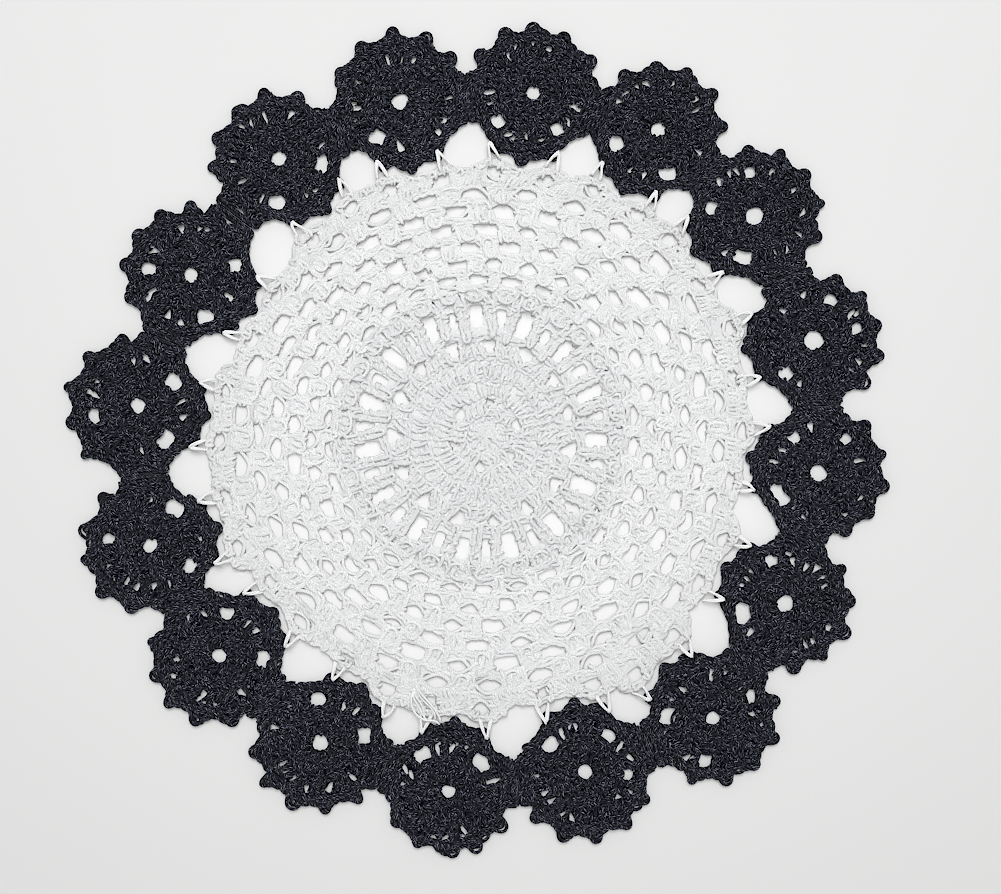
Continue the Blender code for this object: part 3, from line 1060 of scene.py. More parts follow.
class Strand(Enum):
    """Paths of single strands.

    Each place is given across in half widths, onward as a share of the length, then as a further
    shift onward and a height in millimetres.
    """

    LOOP = (
        (0.1, -0.3, 0.0, -0.6), (0.8, 0.1, 0.0, 0.8), (1.35, 0.9, 0.0, 0.6), (0.0, 1.45, 0.0, -0.9),
        (-1.35, 0.9, 0.0, 0.6), (-0.8, 0.1, 0.0, 0.8), (-0.1, -0.3, 0.0, -0.6),
    )
    FRONT_LEG = (
        (-0.6, 0.0, -2.1, -0.8), (-0.9, 0.0, -1.2, 1.6), (-1.0, 0.1, 0.4, 1.0),
        (-0.7, 0.5, 0.0, 0.1), (0.9, 0.82, 0.0, 0.6), (0.6, 1.0, 0.9, -0.6),
    )
    BACK_LEG = (
        (0.7, 0.0, -0.9, -0.6), (1.0, 0.05, 0.2, 0.3), (1.0, 0.45, 0.0, 0.7),
        (-0.8, 0.8, 0.0, 0.0), (-0.7, 1.0, 0.9, -0.6),
    )
    WRAP = ((-1.9, 0.3, 0.0, -0.7), (-1.0, 0.4, 0.0, 1.1), (1.0, 0.56, 0.0, 1.2), (1.9, 0.7, 0.0, -0.6))
    FOOT = (
        (-0.9, 0.3, 0.0, -0.2), (-0.95, 0.0, -0.4, 1.4), (-0.4, 0.0, -1.9, 1.8),
        (0.5, 0.0, -1.9, 1.8), (0.95, 0.0, -0.3, 1.4), (0.9, 0.35, 0.0, -0.2),
    )
    CROWN = (
        (-0.9, 0.35, 0.0, -0.4), (-1.0, 0.0, -0.3, 1.2), (-0.45, 0.0, -1.4, 0.8),
        (0.45, 0.0, -1.5, 0.8), (1.0, 0.0, -0.4, 1.2), (0.9, 0.3, 0.0, -0.4),
    )
    BOW = (
        (-1.35, -0.1, 0.0, -0.3), (-0.7, 0.85, 0.0, 0.4), (0.1, 1.85, 0.0, 0.9),
        (0.7, 0.9, 0.0, 0.4), (1.35, -0.1, 0.0, -0.3),
    )


@dataclass
class Stitches:
    """Works stitches into a skein.

    height is that of the middle of its strands and relief scales how far they rise and fall.
    Posts longer than tall have a wrap at every wrap_step. swing is how far stitches turn aside.
    """

    skein: Skein
    height: float
    relief: float
    half_loop: float = 0.85
    loop_width: Span = (0.85, 1.2)
    pitch: float = 3.4
    look_ahead: float = 0.6
    thickness: Span = (0.92, 1.06)
    jitter: float = 0.24
    swing: float = 9.0
    post_swing: float = 2.0
    bow_share: float = 0.5
    bow_reach: Span = (0.95, 1.3)
    half_stray: float = 0.7
    tall: float = 6.0
    wrap_step: float = 3.6

    def strand(self, kind: Strand, foot: Place, heading: float, widths: Span, length: float) -> None:
        """Lay one strand of a stitch.

        Args:
            kind: Its path.
            foot: Where it starts.
            heading: The direction in which it runs.
            widths: Its half width at the foot and at the top.
            length: How far it runs.
        """
        shape = np.array(kind.value)
        share = np.clip(shape[:, 1], 0.0, 1.0)
        across = shape[:, 0] * (widths[0] + (widths[1] - widths[0]) * share)
        forward = shape[:, 1] * length + shape[:, 2]
        ahead = along(heading, 1.0)
        aside = along(heading - 90.0, 1.0)
        path = np.empty((len(shape), 3))
        path[:, :2] = foot + forward[:, None] * ahead + across[:, None] * aside
        path[:, 2] = self.height + shape[:, 3] * self.relief
        path += self.skein.rng.normal(0.0, self.jitter, path.shape)
        self.skein.lay(path, self.skein.rng.uniform(*self.thickness))

    def loop(self, place: Place, heading: float, stretch: float) -> None:
        """Work one chain loop.

        Args:
            place: Its middle.
            heading: The direction in which it lies.
            stretch: Its length beside the usual loop.
        """
        turn = self.skein.rng.normal(0.0, self.swing)
        wide = self.half_loop * self.skein.rng.uniform(*self.loop_width)
        foot = place - along(heading, self.pitch * 0.5)
        self.strand(Strand.LOOP, foot, heading + turn, (wide, wide), self.pitch * stretch)

    def post(self, foot: Place, top: Place, widths: Span, wrapped: bool) -> None:
        """Work one post: two legs that cross, with strands wrapped round them or not.

        Args:
            foot: Where it is worked into the round below.
            top: Where its own top lies.
            widths: Its half width at the foot and at the top.
            wrapped: Whether a strand goes round its middle; a tall one has several anyway.
        """
        run = top - foot
        heading = direction_of(run) + self.skein.rng.normal(0.0, self.post_swing)
        length = float(np.linalg.norm(run))
        for leg in (Strand.FRONT_LEG, Strand.BACK_LEG):
            self.strand(leg, foot, heading, widths, length)
        wraps = round(length / self.wrap_step) if length > self.tall else int(wrapped)
        for number in range(wraps):
            self.strand(Strand.WRAP, foot + run * number / wraps, heading, widths, length / wraps)

    def bows(self, gap: np.ndarray) -> None:
        """Work a bowed strand along one or both long sides of a gap, or neither.

        Args:
            gap: The corners of the gap, in the order of a lens.
        """
        middle = gap.mean(axis=0)
        half = float(np.linalg.norm(gap[3] - gap[0])) / 2
        up = (gap[4] + gap[5]) / 2 - middle
        for turn in (0.0, 180.0):
            heading = direction_of(up) + turn + self.skein.rng.normal(0.0, self.swing)
            bow = float(np.linalg.norm(up)) * self.skein.rng.uniform(*self.bow_reach)
            if self.skein.rng.random() < self.bow_share:
                self.strand(Strand.BOW, middle, heading, (half, half), bow)

    def stray(self, place: Place, heading: float, length: float | None = None) -> None:
        """Work one short strand that lies across the stitches.

        Args:
            place: Its middle.
            heading: The direction in which it lies.
            length: Its length, or None for that of a loop.
        """
        length = length or self.pitch
        foot = place - along(heading, length / 2)
        self.strand(Strand.WRAP, foot, heading, (self.half_stray, self.half_stray), length)

    def chain(self, line: np.ndarray) -> None:
        """Work chain loops all along a closed line.

        Args:
            line: Places along it, close together.
        """
        closed = np.vstack((line, line[:1]))
        steps = np.linalg.norm(np.diff(closed, axis=0), axis=1)
        run = np.concatenate(([0.0], np.cumsum(steps)))
        count = max(3, round(run[-1] / self.pitch))
        stations = (np.arange(count) + 0.5) * run[-1] / count
        ahead = (stations + self.look_ahead) % run[-1]
        places, further = (
            np.stack([np.interp(where, run, closed[:, axis]) for axis in (0, 1)], 1)
            for where in (stations, ahead)
        )
        stretch = run[-1] / count / self.pitch
        for place, after in zip(places, further):
            self.loop(place, direction_of(after - place), stretch)


@dataclass
class Ground:
    """Thin openwork sheet of close yarn that the stitches stand on."""

    INSIDE = 1
    MERGE = 1e-5

    name: str
    outline: np.ndarray
    gaps: list[np.ndarray]
    layer: Span

    def make(self, material: bpy.types.Material) -> bpy.types.Object:
        """Fill the outline around its gaps and give it its thickness.

        Args:
            material: The finish of the close yarn.

        Returns:
            The sheet.
        """
        places, edges = [], []
        for loop in [self.outline, *self.gaps]:
            start, count = len(places), len(loop)
            places += [Vector(place) for place in loop]
            edges += [(start + side, start + (side + 1) % count) for side in range(count)]
        corners, _, faces = delaunay_2d_cdt(places, edges, [], self.INSIDE, self.MERGE)[:3]
        flat = np.array(corners)
        middles = flat[np.array(faces)].mean(axis=1)
        kept = is_inside(middles, self.outline)
        for gap in self.gaps:
            kept &= ~is_inside(middles, gap)
        low, high = self.layer
        mesh = bpy.data.meshes.new(self.name)
        corners = [(x * MM, y * MM, low * MM) for x, y in flat]
        mesh.from_pydata(corners, [], [face for face, stays in zip(faces, kept) if stays])
        thing = add_object(self.name, mesh)
        select_only(thing)
        bpy.ops.object.modifier_add(type="SOLIDIFY")
        thickness = thing.modifiers[-1]
        thickness.thickness = (high - low) * MM
        thickness.offset = 1.0
        bpy.ops.object.modifier_apply(modifier=thickness.name)
        return finish_mesh(thing, material, bpy.ops.mesh.delete_loose)


def declare_yarn(thing: bpy.types.Object) -> bpy.types.Object:
    """Let a yarn piece ride on the doily.

    Args:
        thing: The piece.

    Returns:
        The same piece.
    """
    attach(thing, "root")
    return thing


# ---------------------------------------------------------------- the white centre


@dataclass
class WhiteCentre:
    """The white openwork centre.

    Its heights and distances are millimetres. lean is how far its groups of posts lean, sway how
    far they stray along the round and scatter how far each post strays. stray_room is kept
    between a short strand and the middle of a gap, and ground_room widens the ground's gaps.
    """

    pattern: Pattern
    finish: YarnFinish
    yarn: float = 0.78
    height: float = 0.95
    relief: float = 0.65
    rosette_relief: float = 1.15
    first_seed: int = 11
    loop_rise: float = 0.9
    line_step: float = 1.5
    wander: float = 0.5
    wander_turn: float = 17.0
    sway: float = 0.45
    lean: float = 0.25
    lean_spread: float = 0.5
    width_spread: float = 0.06
    top_slack: float = 0.2
    smallest_round: float = 2.0
    thinnest: float = 0.3
    scatter: float = 0.3
    wrap_share: float = 0.4
    stray_share: float = 0.8
    stray_along: Span = (-0.1, 0.9)
    stray_room: float = 3.0
    stray_swing: float = 40.0
    foot_width: Span = (0.5, 0.8)
    crown_width: Span = (0.5, 0.9)
    inner_rounds: int = 7
    middle_rounds: int = 11
    ground_room: float = 0.6
    layer: Span = (0.95, 1.4)
    flat: Span = (0.216, 0.216)
    net_area: float = 0.0296
    slot: str = "white_yarn"

    def __post_init__(self) -> None:
        """Find the gaps and their middles."""
        self.gaps = self.pattern.centre_gaps(0.0)
        self.openings = np.array([gap.mean(axis=0) for gap in self.gaps])

    def build(self) -> list[bpy.types.Object]:
        """Returns:
            Its pieces, the ground sheet first.
        """
        strand = self.finish.strand()
        pieces = []
        # Name, first round, round after the last, relief and tone of each piece; a lower tone lays more of
        # the painted shade colour on its strands.
        spans = (
            ("rosette_stitches", 0, self.inner_rounds, self.rosette_relief, 0.3),
            ("mesh_stitches", self.inner_rounds, self.middle_rounds, self.relief, 0.59),
            ("border_mesh_stitches", self.middle_rounds, len(ROUNDS), self.relief, 0.68),
        )
        for seed, (name, first, last, relief, tone) in enumerate(spans, self.first_seed):
            work = Stitches(Skein(name, self.yarn, seed, tone), self.height, relief)
            for level in range(first, last):
                self.work_round(work, level)
            pieces.append(declare_yarn(work.skein.make(strand)))
        pieces.append(declare_yarn(WhiteEdging(self).build().make(strand)))
        gaps = [rounded(gap, 2) for gap in self.pattern.centre_gaps(self.ground_room)]
        outline = rounded(self.pattern.edge_path(self.ground_room), 3)
        ground = Ground("centre_ground", outline, gaps, self.layer)
        sheet = declare_yarn(ground.make(self.finish.felted()))
        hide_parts("centre")
        return [sheet, *pieces]

    def tops(self, level: int, angle: float) -> float:
        """Radius of a round's top loops, which rise over its gaps.

        Args:
            level: The round, counted from the middle.
            angle: The direction from the origin.

        Returns:
            The radius.
        """
        row = ROUNDS[level]
        rise = math.cos(math.radians((angle - row.first) * row.groups)) * row.wave
        return row.high + self.loop_rise + rise + self.wander * uneven(level, angle / self.wander_turn)

    def top_at(self, level: int, angle: float) -> Place:
        """Place just inside a round's top loops, where its own posts end."""
        return self.pattern.on_round(self.tops(level, angle) - self.loop_rise, angle)

    def foot_at(self, level: int, angle: float) -> Place:
        """Place just outside a round's top loops, where the posts of the next one start."""
        return self.pattern.on_round(self.tops(level, angle) + self.loop_rise, angle)

    def work_round(self, work: Stitches, level: int) -> None:
        """Work the posts and the top loops of one round.

        Args:
            work: The stitches of the piece that it is part of.
            level: The round, counted from the middle.
        """
        row = ROUNDS[level]
        rng = work.skein.rng
        pitch = 360.0 / row.groups
        middle = (row.low + row.high) / 2
        slack = math.degrees(row.gap * row.taper / 2 / middle)
        for number in range(row.groups):
            here, after = (row.alternate if gap % 2 else 1.0 for gap in (number, number + 1))
            start = row.first + pitch * number + math.degrees(row.gap * here / 2 / middle)
            end = row.first + pitch * (number + 1) - math.degrees(row.gap * after / 2 / middle)
            centre = (start + end) / 2 + math.degrees(rng.normal(0.0, self.sway) / middle)
            half = (end - start) / 2 * (1.0 + rng.normal(0.0, self.width_spread))
            lean = math.degrees(rng.normal(self.lean, self.lean_spread) / middle)
            low_half = half + slack
            high_half = half - slack * self.top_slack
            widths = tuple(
                leg_width(math.radians(span) * radius * 2, row.posts, self.thinnest)
                for span, radius in ((low_half, max(row.low, self.smallest_round)), (high_half, row.high))
            )
            for post in range(row.posts):
                share = (post + 0.5) / row.posts * 2.0 - 1.0
                angle = centre - lean + share * low_half
                foot = self.foot_at(level - 1, angle) if level else self.pattern.on_round(row.low, angle)
                top = self.top_at(level, centre + lean + share * high_half)
                foot = foot + rng.normal(0.0, self.scatter, 2)
                top = top + rng.normal(0.0, self.scatter, 2)
                work.post(foot, top, widths, rng.random() < self.wrap_share)
                spot = foot + (top - foot) * rng.uniform(*self.stray_along)
                clear = np.linalg.norm(self.openings - spot, axis=1).min() > self.stray_room
                if clear and rng.random() < self.stray_share:
                    work.stray(spot, direction_of(top - foot) + rng.normal(0.0, self.stray_swing))
            if row.in_feet:
                run = row.high - row.low
                wide = math.radians(low_half) * row.low * rng.uniform(*self.foot_width)
                work.strand(Strand.FOOT, self.foot_at(level - 1, centre - lean), centre, (wide, wide), run)
                wide = math.radians(high_half) * row.high * rng.uniform(*self.crown_width)
                crown = self.top_at(level, centre + lean)
                work.strand(Strand.CROWN, crown, centre + 180.0, (wide, wide), run)
        angles = np.arange(0.0, 360.0, self.line_step)
        work.chain(np.array([self.pattern.on_round(self.tops(level, angle), angle) for angle in angles]))
        if row.is_mesh:
            first = sum(earlier.groups for earlier in ROUNDS[:level] if earlier.gap > 0.0)
            for gap in self.gaps[first : first + row.groups]:
                work.bows(gap)


@dataclass
class WhiteEdging:
    """The white centre's last round, with its joints to the motifs and its thread end.

    beads are the short strands across its edge; shares are where its posts stand between two
    joints; reach, spread and foot are the shape of the pointed stitch that catches a dark picot.
    """

    centre: WhiteCentre
    seed: int = 29
    tone: float = 0.68
    inset: float = 1.5
    bead_step: int = 7
    bead_inset: Span = (0.6, 1.4)
    bead_width: Span = (0.8, 1.3)
    bead_swing: float = 12.0
    bead_length: float = 2.6
    shares: tuple[float, ...] = (0.25, 0.33, 0.41, 0.5, 0.59, 0.67, 0.75)
    leg_widths: Span = (0.66, 0.7)
    shortest_post: float = 1.8
    post_swing: float = 0.3
    stray_swing: float = 50.0
    strays: int = 260
    stray_foot: float = 1.4
    stray_room: float = 4.6
    joint_swing: float = 9.0
    reach: Span = (2.4, 4.4)
    spread: Span = (1.7, 2.7)
    foot: Span = (-4.0, -2.6)
    joint_jitter: float = 0.2
    twist: float = 3.0
    ply_offset: float = 0.36
    ply_thickness: Span = (0.6, 0.72)

    def build(self) -> Skein:
        """Work the whole edging.

        Returns:
            The skein with its strands.
        """
        centre = self.centre
        self.skein = Skein("edging_stitches", centre.yarn, self.seed, self.tone)
        self.work = Stitches(self.skein, centre.height, centre.relief)
        joints = [(index, side) for index in range(len(MOTIFS)) for side in (1, -1)]
        places = [sum(centre.pattern.joint(*joint)) / 2 for joint in joints]
        line = rounded(centre.pattern.edge_path(self.inset), 6)
        self.work.chain(line)
        self.lay_beads(line)
        edge = Reach(line, np.zeros(2))
        self.lay_posts(places, edge)
        for gap in centre.gaps[-len(places) :]:
            self.work.bows(gap)
        self.lay_strays(centre.openings[-len(places) :], edge)
        for place in places:
            self.lay_joint(place)
        # The thread end's plies are drawn at full colour, a painted highlight.
        for end in THREAD_END:
            self.skein.lay(np.array(end.path), end.thickness, painted_lit=True)
        return self.skein

    def lay_beads(self, line: np.ndarray) -> None:
        """Work short strands that stand across the edge.

        Args:
            line: Places along the edge.
        """
        rng = self.skein.rng
        for place, after in list(zip(line, np.roll(line, -1, axis=0)))[:: self.bead_step]:
            inward = direction_of(after - place) + 90.0
            foot = place + along(inward, rng.uniform(*self.bead_inset))
            wide = rng.uniform(*self.bead_width)
            heading = inward + rng.normal(0.0, self.bead_swing)
            self.work.strand(Strand.FOOT, foot, heading, (wide, wide), self.bead_length)

    def lay_posts(self, places: list[Place], edge: Reach) -> None:
        """Work the posts between the last mesh round and the edge.

        Args:
            places: The joints, in order.
            edge: The line of the edge.
        """
        rng = self.skein.rng
        for here, after in zip(places, places[1:] + places[:1]):
            start = direction_of(here)
            span = (direction_of(after) - start) % 360.0
            for share in self.shares:
                angle = start + span * share
                foot = self.centre.foot_at(len(ROUNDS) - 1, angle)
                high = edge.at(angle) - self.centre.loop_rise
                top = along(angle + rng.normal(0.0, self.post_swing), high)
                if np.linalg.norm(top) - np.linalg.norm(foot) < self.shortest_post:
                    continue
                self.work.post(foot, top, self.leg_widths, rng.random() < self.centre.wrap_share)
                if rng.random() < self.centre.stray_share:
                    self.work.stray((foot + top) / 2, angle + rng.normal(0.0, self.stray_swing))

    def lay_strays(self, openings: np.ndarray, edge: Reach) -> None:
        """Work short strands all over the last round.

        Args:
            openings: The middles of its gaps.
            edge: The line of the edge.
        """
        rng = self.skein.rng
        for _ in range(self.strays):
            angle = rng.uniform(0.0, 360.0)
            low = self.centre.tops(len(ROUNDS) - 1, angle) + self.stray_foot
            place = along(angle, rng.uniform(low, max(edge.at(angle), low + 1.0)))
            if np.linalg.norm(openings - place, axis=1).min() > self.stray_room:
                self.work.stray(place, rng.uniform(0.0, 360.0))

    def lay_joint(self, tip: Place) -> None:
        """Work the pointed white stitch that catches a dark picot, two plies on each side.

        Args:
            tip: Where the edge meets the picot.
        """
        rng = self.skein.rng
        heading = direction_of(tip) + rng.normal(0.0, self.joint_swing)
        up = along(heading, 1.0)
        aside = along(heading - 90.0, 1.0)
        reach = rng.uniform(*self.reach)
        for side in (-1.0, 1.0):
            spread = side * rng.uniform(*self.spread)
            foot = rng.uniform(*self.foot)
            # Places from its foot to its point: across and outward from the tip, and height.
            shape = (
                (spread, foot, 1.4), (spread * 0.85, foot * 0.4, 2.5), (spread * 0.42, reach * 0.5, 3.2),
                (side * 0.3, reach * 0.92, 3.0), (0.0, reach + 0.5, 2.2),
            )
            path = np.array([(*(tip + aside * across + up * on), high) for across, on, high in shape])
            path += rng.normal(0.0, self.joint_jitter, path.shape)
            twist = np.linspace(0.0, self.twist, len(path)) + rng.uniform(0.0, self.twist)
            apart = np.outer(np.cos(twist), (*aside, 0.0)) + np.outer(np.sin(twist), (0.0, 0.0, 1.0))
            for ply in (-self.ply_offset, self.ply_offset):
                # Each ply is drawn at full colour, a painted highlight.
                self.skein.lay(path + apart * ply, rng.uniform(*self.ply_thickness), painted_lit=True)


# ---------------------------------------------------------------- the navy motifs


@dataclass(frozen=True)
class Slit:
    """A small opening between two stitches of a motif."""

    place: Place
    heading: float
    width: float
    height: float


# Strands of a picot, the outer loop first: across, outward and up from its tip.
PICOT_STRANDS = (
    (
        (-3.3, -4.8, 0.2), (-2.7, -2.2, 0.5), (-1.8, 0.3, 0.4), (1.8, 0.3, 0.4),
        (2.7, -2.2, 0.5), (3.3, -4.8, 0.2),
    ),
    ((-2.3, -3.4, -0.4), (-1.1, -2.6, 1.3), (1.1, -2.0, 1.3), (2.3, -3.0, -0.4)),
    ((-1.8, -1.0, -0.3), (-0.6, -1.3, 0.9), (0.8, -0.9, 0.9), (1.7, -1.3, -0.3)),
    ((-0.7, -4.6, 0.2), (-0.7, -0.8, 0.9), (0.7, -0.8, 0.9), (0.7, -4.6, 0.2)),
)


@dataclass
class NavyMotif:
    """One navy round motif, worked from its own ring to its picots.

    Swings are degrees and scatters are millimetres by which its stitches stray. Rooms are
    distances that are kept from openings; eases are how much less the hole and the gaps need;
    ground_room widens the ground's gaps.
    eye is how far inside a picot's tip its opening lies, and the opening's width and height.
    """

    pattern: Pattern
    finish: YarnFinish
    index: int
    yarn: float = 0.66
    height: float = 1.0
    relief: float = 0.75
    first_seed: int = 101
    loop_rise: float = 0.9
    line_step: float = 9.0
    wander: float = 0.7
    wander_turn: float = 29.0
    wrap_share: float = 0.4
    thinnest: float = 0.32
    inner_high: Span = (8.2, 12.8)
    inner_low: Span = (2.9, 10.0)
    inner_posts: tuple[int, int] = (15, 21)
    foot_swing: float = 3.0
    top_swing: float = 5.0
    foot_scatter: float = 0.3
    top_scatter: float = 0.4
    ring_places: int = 11
    ring_step: float = 36.0
    ring_room: float = 1.3
    ring_scatter: float = 0.45
    ring_sink: float = 0.2
    spoke_step: float = 10.5
    spoke_foot: float = 15.6
    spoke_top: float = 20.8
    spoke_rise: float = 1.0
    spoke_widths: Span = (0.6, 0.72)
    spoke_wraps: float = 0.3
    spoke_swings: tuple[float, float, float] = (1.2, 0.8, 1.6)
    spoke_room: float = 3.2
    beside_gap: float = 1.3
    beside_slit: float = 0.8
    slit_tries: int = 21
    slit_width: Span = (1.7, 3.1)
    slit_height: Span = (3.0, 5.8)
    slit_band: Span = (0.6, 0.2)
    slit_rooms: Span = (2.0, 1.4)
    slit_swing: float = 28.0
    narrow_slit: float = 2.1
    upside_down: float = 0.35
    strays: int = 120
    stray_room: float = 1.7
    stray_length: Span = (2.4, 3.8)
    stray_inset: float = 0.6
    stray_reach: Span = (0.03, 1.0)
    eases: Span = (0.7, 0.5)
    rim_inset: float = 1.6
    rim_space: float = 0.5
    rim_step: float = 6.0
    rim_turn: float = 2.0
    rim_swing: float = 35.0
    rim_shift: float = 0.4
    rim_lap: float = 0.6
    shortest_rim: float = 3.0
    seam_spaces: Span = (0.1, 1.4)
    seam_half: float = 14.0
    seam_places: int = 6
    seam_swing: float = 1.0
    seam_rise: Span = (0.2, 0.3)
    open_share: float = 0.55
    eye: tuple[float, float, float] = (2.5, 1.5, 1.9)
    eye_width: float = 0.95
    nub_lean: float = 0.6
    nub_width: Span = (0.62, 1.0)
    nub_sink: float = 0.9
    nub_jitter: float = 0.14
    ground_room: float = 0.6
    ragged: Span = (0.8, 1.16)
    ground_inset: float = 1.5
    layer: Span = (0.85, 1.15)
    flat: Span = (0.057, 0.057)
    net_area: float = 0.00225
    slot: str = "dark_yarn"

    def __post_init__(self) -> None:
        """Find where the motif lies, and start its skein."""
        self.row = MOTIFS[self.index]
        self.middle = self.pattern.centre_of(self.index)
        self.facing = self.pattern.inward(self.index)
        self.picots = self.pattern.picots(self.index)
        self.name = f"motif_{self.index + 1:02d}"
        self.skein = Skein(f"{self.name}_stitches", self.yarn, self.first_seed + self.index)
        self.work = Stitches(self.skein, self.height, self.relief)
        self.slits: list[Slit] = []

    def at(self, direction: float, radius: float) -> Place:
        """Place seen from the motif's own middle."""
        return self.middle + along(direction, radius)

    def ring(self, radius: float) -> np.ndarray:
        """Find a closed uneven line around the motif's middle.

        Args:
            radius: Its usual radius.

        Returns:
            Places along it.
        """
        places = []
        for turn in np.arange(0.0, 360.0, self.line_step):
            wander = self.wander * uneven(self.index + radius, turn / self.wander_turn)
            places.append(self.at(turn, radius + wander))
        return np.array(places)

    def build(self, strand: bpy.types.Material, felt: bpy.types.Material) -> list[bpy.types.Object]:
        """Args:
            strand: The finish of its strands.
            felt: The finish of its ground sheet.

        Returns:
            The ground sheet and the stitches.
        """
        self.inner_rounds()
        self.spokes()
        for picot in self.picots:
            self.nub(picot)
        self.rim()
        self.seams()
        stitches = declare_yarn(self.skein.make(strand))
        sheet = self.ground().make(felt)
        declare_yarn(sheet)
        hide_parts(self.name)
        return [sheet, stitches]

    def ground(self) -> Ground:
        """Lay out the sheet of close yarn inside the rim, open at the gaps and slits.

        Returns:
            The sheet, not yet made.
        """
        rng = self.skein.rng
        away = self.pattern.motif_outline(self.index) - self.middle
        length = np.linalg.norm(away, axis=1, keepdims=True)
        inset = self.middle + away * (1.0 - self.ground_inset / length)
        gaps = []
        for gap in self.pattern.motif_gaps(self.index, self.ground_room):
            middle = gap.mean(axis=0)
            gaps.append(rounded(middle + (gap - middle) * rng.uniform(*self.ragged, (len(gap), 1)), 2))
        for slit in self.slits:
            heading = slit.heading + 180.0 * (rng.random() < self.upside_down)
            shape = GapShape.LENS if slit.width < self.narrow_slit else GapShape.FAN
            gaps.append(gap_outline(slit.place, heading, slit.width, slit.height, shape))
        return Ground(f"{self.name}_ground", inset, gaps, self.layer)

    def inner_rounds(self) -> None:
        """Work the ring and the two close rounds around it."""
        hole = self.row.hole / 2
        rng = self.skein.rng
        lows = (hole + self.inner_low[0], self.inner_low[1])
        for low, high, count in zip(lows, self.inner_high, self.inner_posts):
            start = rng.uniform(0.0, 360.0)
            widths = tuple(leg_width(math.tau * radius, count, self.thinnest) for radius in (low, high))
            for post in range(count):
                direction = start + 360.0 / count * post + rng.normal(0.0, self.foot_swing)
                foot = self.at(direction, low + rng.normal(0.0, self.foot_scatter))
                turn = direction + rng.normal(0.0, self.top_swing)
                top = self.at(turn, high + rng.normal(0.0, self.top_scatter))
                self.work.post(foot, top, widths, rng.random() < self.wrap_share)
            self.work.chain(self.ring(high + self.loop_rise))
        ring = []
        for number in range(self.ring_places):
            reach = hole + self.ring_room + rng.normal(0.0, self.ring_scatter)
            place = self.at(self.ring_step * number, reach)
            ring.append((*place, self.height - self.ring_sink))
        self.skein.lay(np.array(ring))

    def open_gaps(self) -> list[Span]:
        """List the motif's gaps between posts.

        Returns:
            The direction of each from the origin, and its width.
        """
        angle = self.pattern.gap_angle
        gaps = [(-angle, self.row.gap_cw), (angle, self.row.gap_ccw)]
        gaps += [(gap.direction, gap.width) for gap in OUTER_GAPS if gap.motif == self.index]
        return [(self.facing + direction, width) for direction, width in gaps if width > 0.0]

    def span_of(self, length: float) -> float:
        """Turn that a length across makes at the radius of the gaps."""
        return math.degrees(length / self.pattern.gap_radius)

    def is_open(self, direction: float, room: float) -> bool:
        """Find whether a direction comes nearer to a gap than some room.

        Args:
            direction: The direction from the motif's middle.
            room: The room beside a gap.

        Returns:
            Whether it does.
        """
        return any(
            abs(turn_between(middle, direction)) < self.span_of(width / 2 + room)
            for middle, width in self.open_gaps()
        )

    def is_clear(self, place: Place, room: float) -> bool:
        """Find whether a short strand at a place stays out of the motif's openings.

        Args:
            place: The middle of the strand.
            room: Its usual distance from the side of a slit.

        Returns:
            Whether it does.
        """
        hole_ease, gap_ease = self.eases
        openings = [(self.middle, self.row.hole / 2 + room - hole_ease)]
        for direction, width in self.open_gaps():
            openings.append((self.at(direction, self.pattern.gap_radius), width / 2 + room - gap_ease))
        openings += [(slit.place, slit.width / 2 + room) for slit in self.slits]
        return all(np.linalg.norm(place - middle) > least for middle, least in openings)

    def spokes(self) -> None:
        """Work the posts between the inner rounds and the rim, with gaps and slits between them."""
        rng = self.skein.rng
        aside, foot_swing, top_swing = self.spoke_swings
        directions = []
        for middle, width in self.open_gaps():
            beside = self.span_of(width / 2 + self.beside_gap)
            directions += [middle - beside, middle + beside]
        low, high = self.spoke_foot + self.slit_band[0], self.spoke_top + self.slit_band[1]
        for _ in range(self.slit_tries):
            turn = self.facing + rng.uniform(0.0, 360.0)
            size = rng.uniform(*self.slit_width), rng.uniform(*self.slit_height)
            place = self.at(turn, rng.uniform(low, high))
            if not self.is_open(turn, self.slit_rooms[0]) and self.is_clear(place, self.slit_rooms[1]):
                self.slits.append(Slit(place, turn + rng.normal(0.0, self.slit_swing), *size))
        count = round(360.0 / self.spoke_step)
        for number in range(count):
            direction = self.facing + 360.0 / count * (number + 0.5) + rng.normal(0.0, aside)
            for slit in self.slits:
                off = turn_between(direction, direction_of(slit.place - self.middle))
                room = self.span_of(slit.width / 2 + self.beside_slit)
                if abs(off) < room:
                    direction += off - math.copysign(room, off)
            if not self.is_open(direction, self.spoke_room):
                directions.append(direction)
        for direction in directions:
            turn = direction + rng.normal(0.0, foot_swing)
            foot = self.at(turn, self.spoke_foot + rng.normal(0.0, self.foot_scatter))
            top = self.at(direction + rng.normal(0.0, top_swing), self.spoke_top)
            self.work.post(foot, top, self.spoke_widths, rng.random() < self.spoke_wraps)
        self.work.chain(self.ring(self.spoke_top + self.spoke_rise))

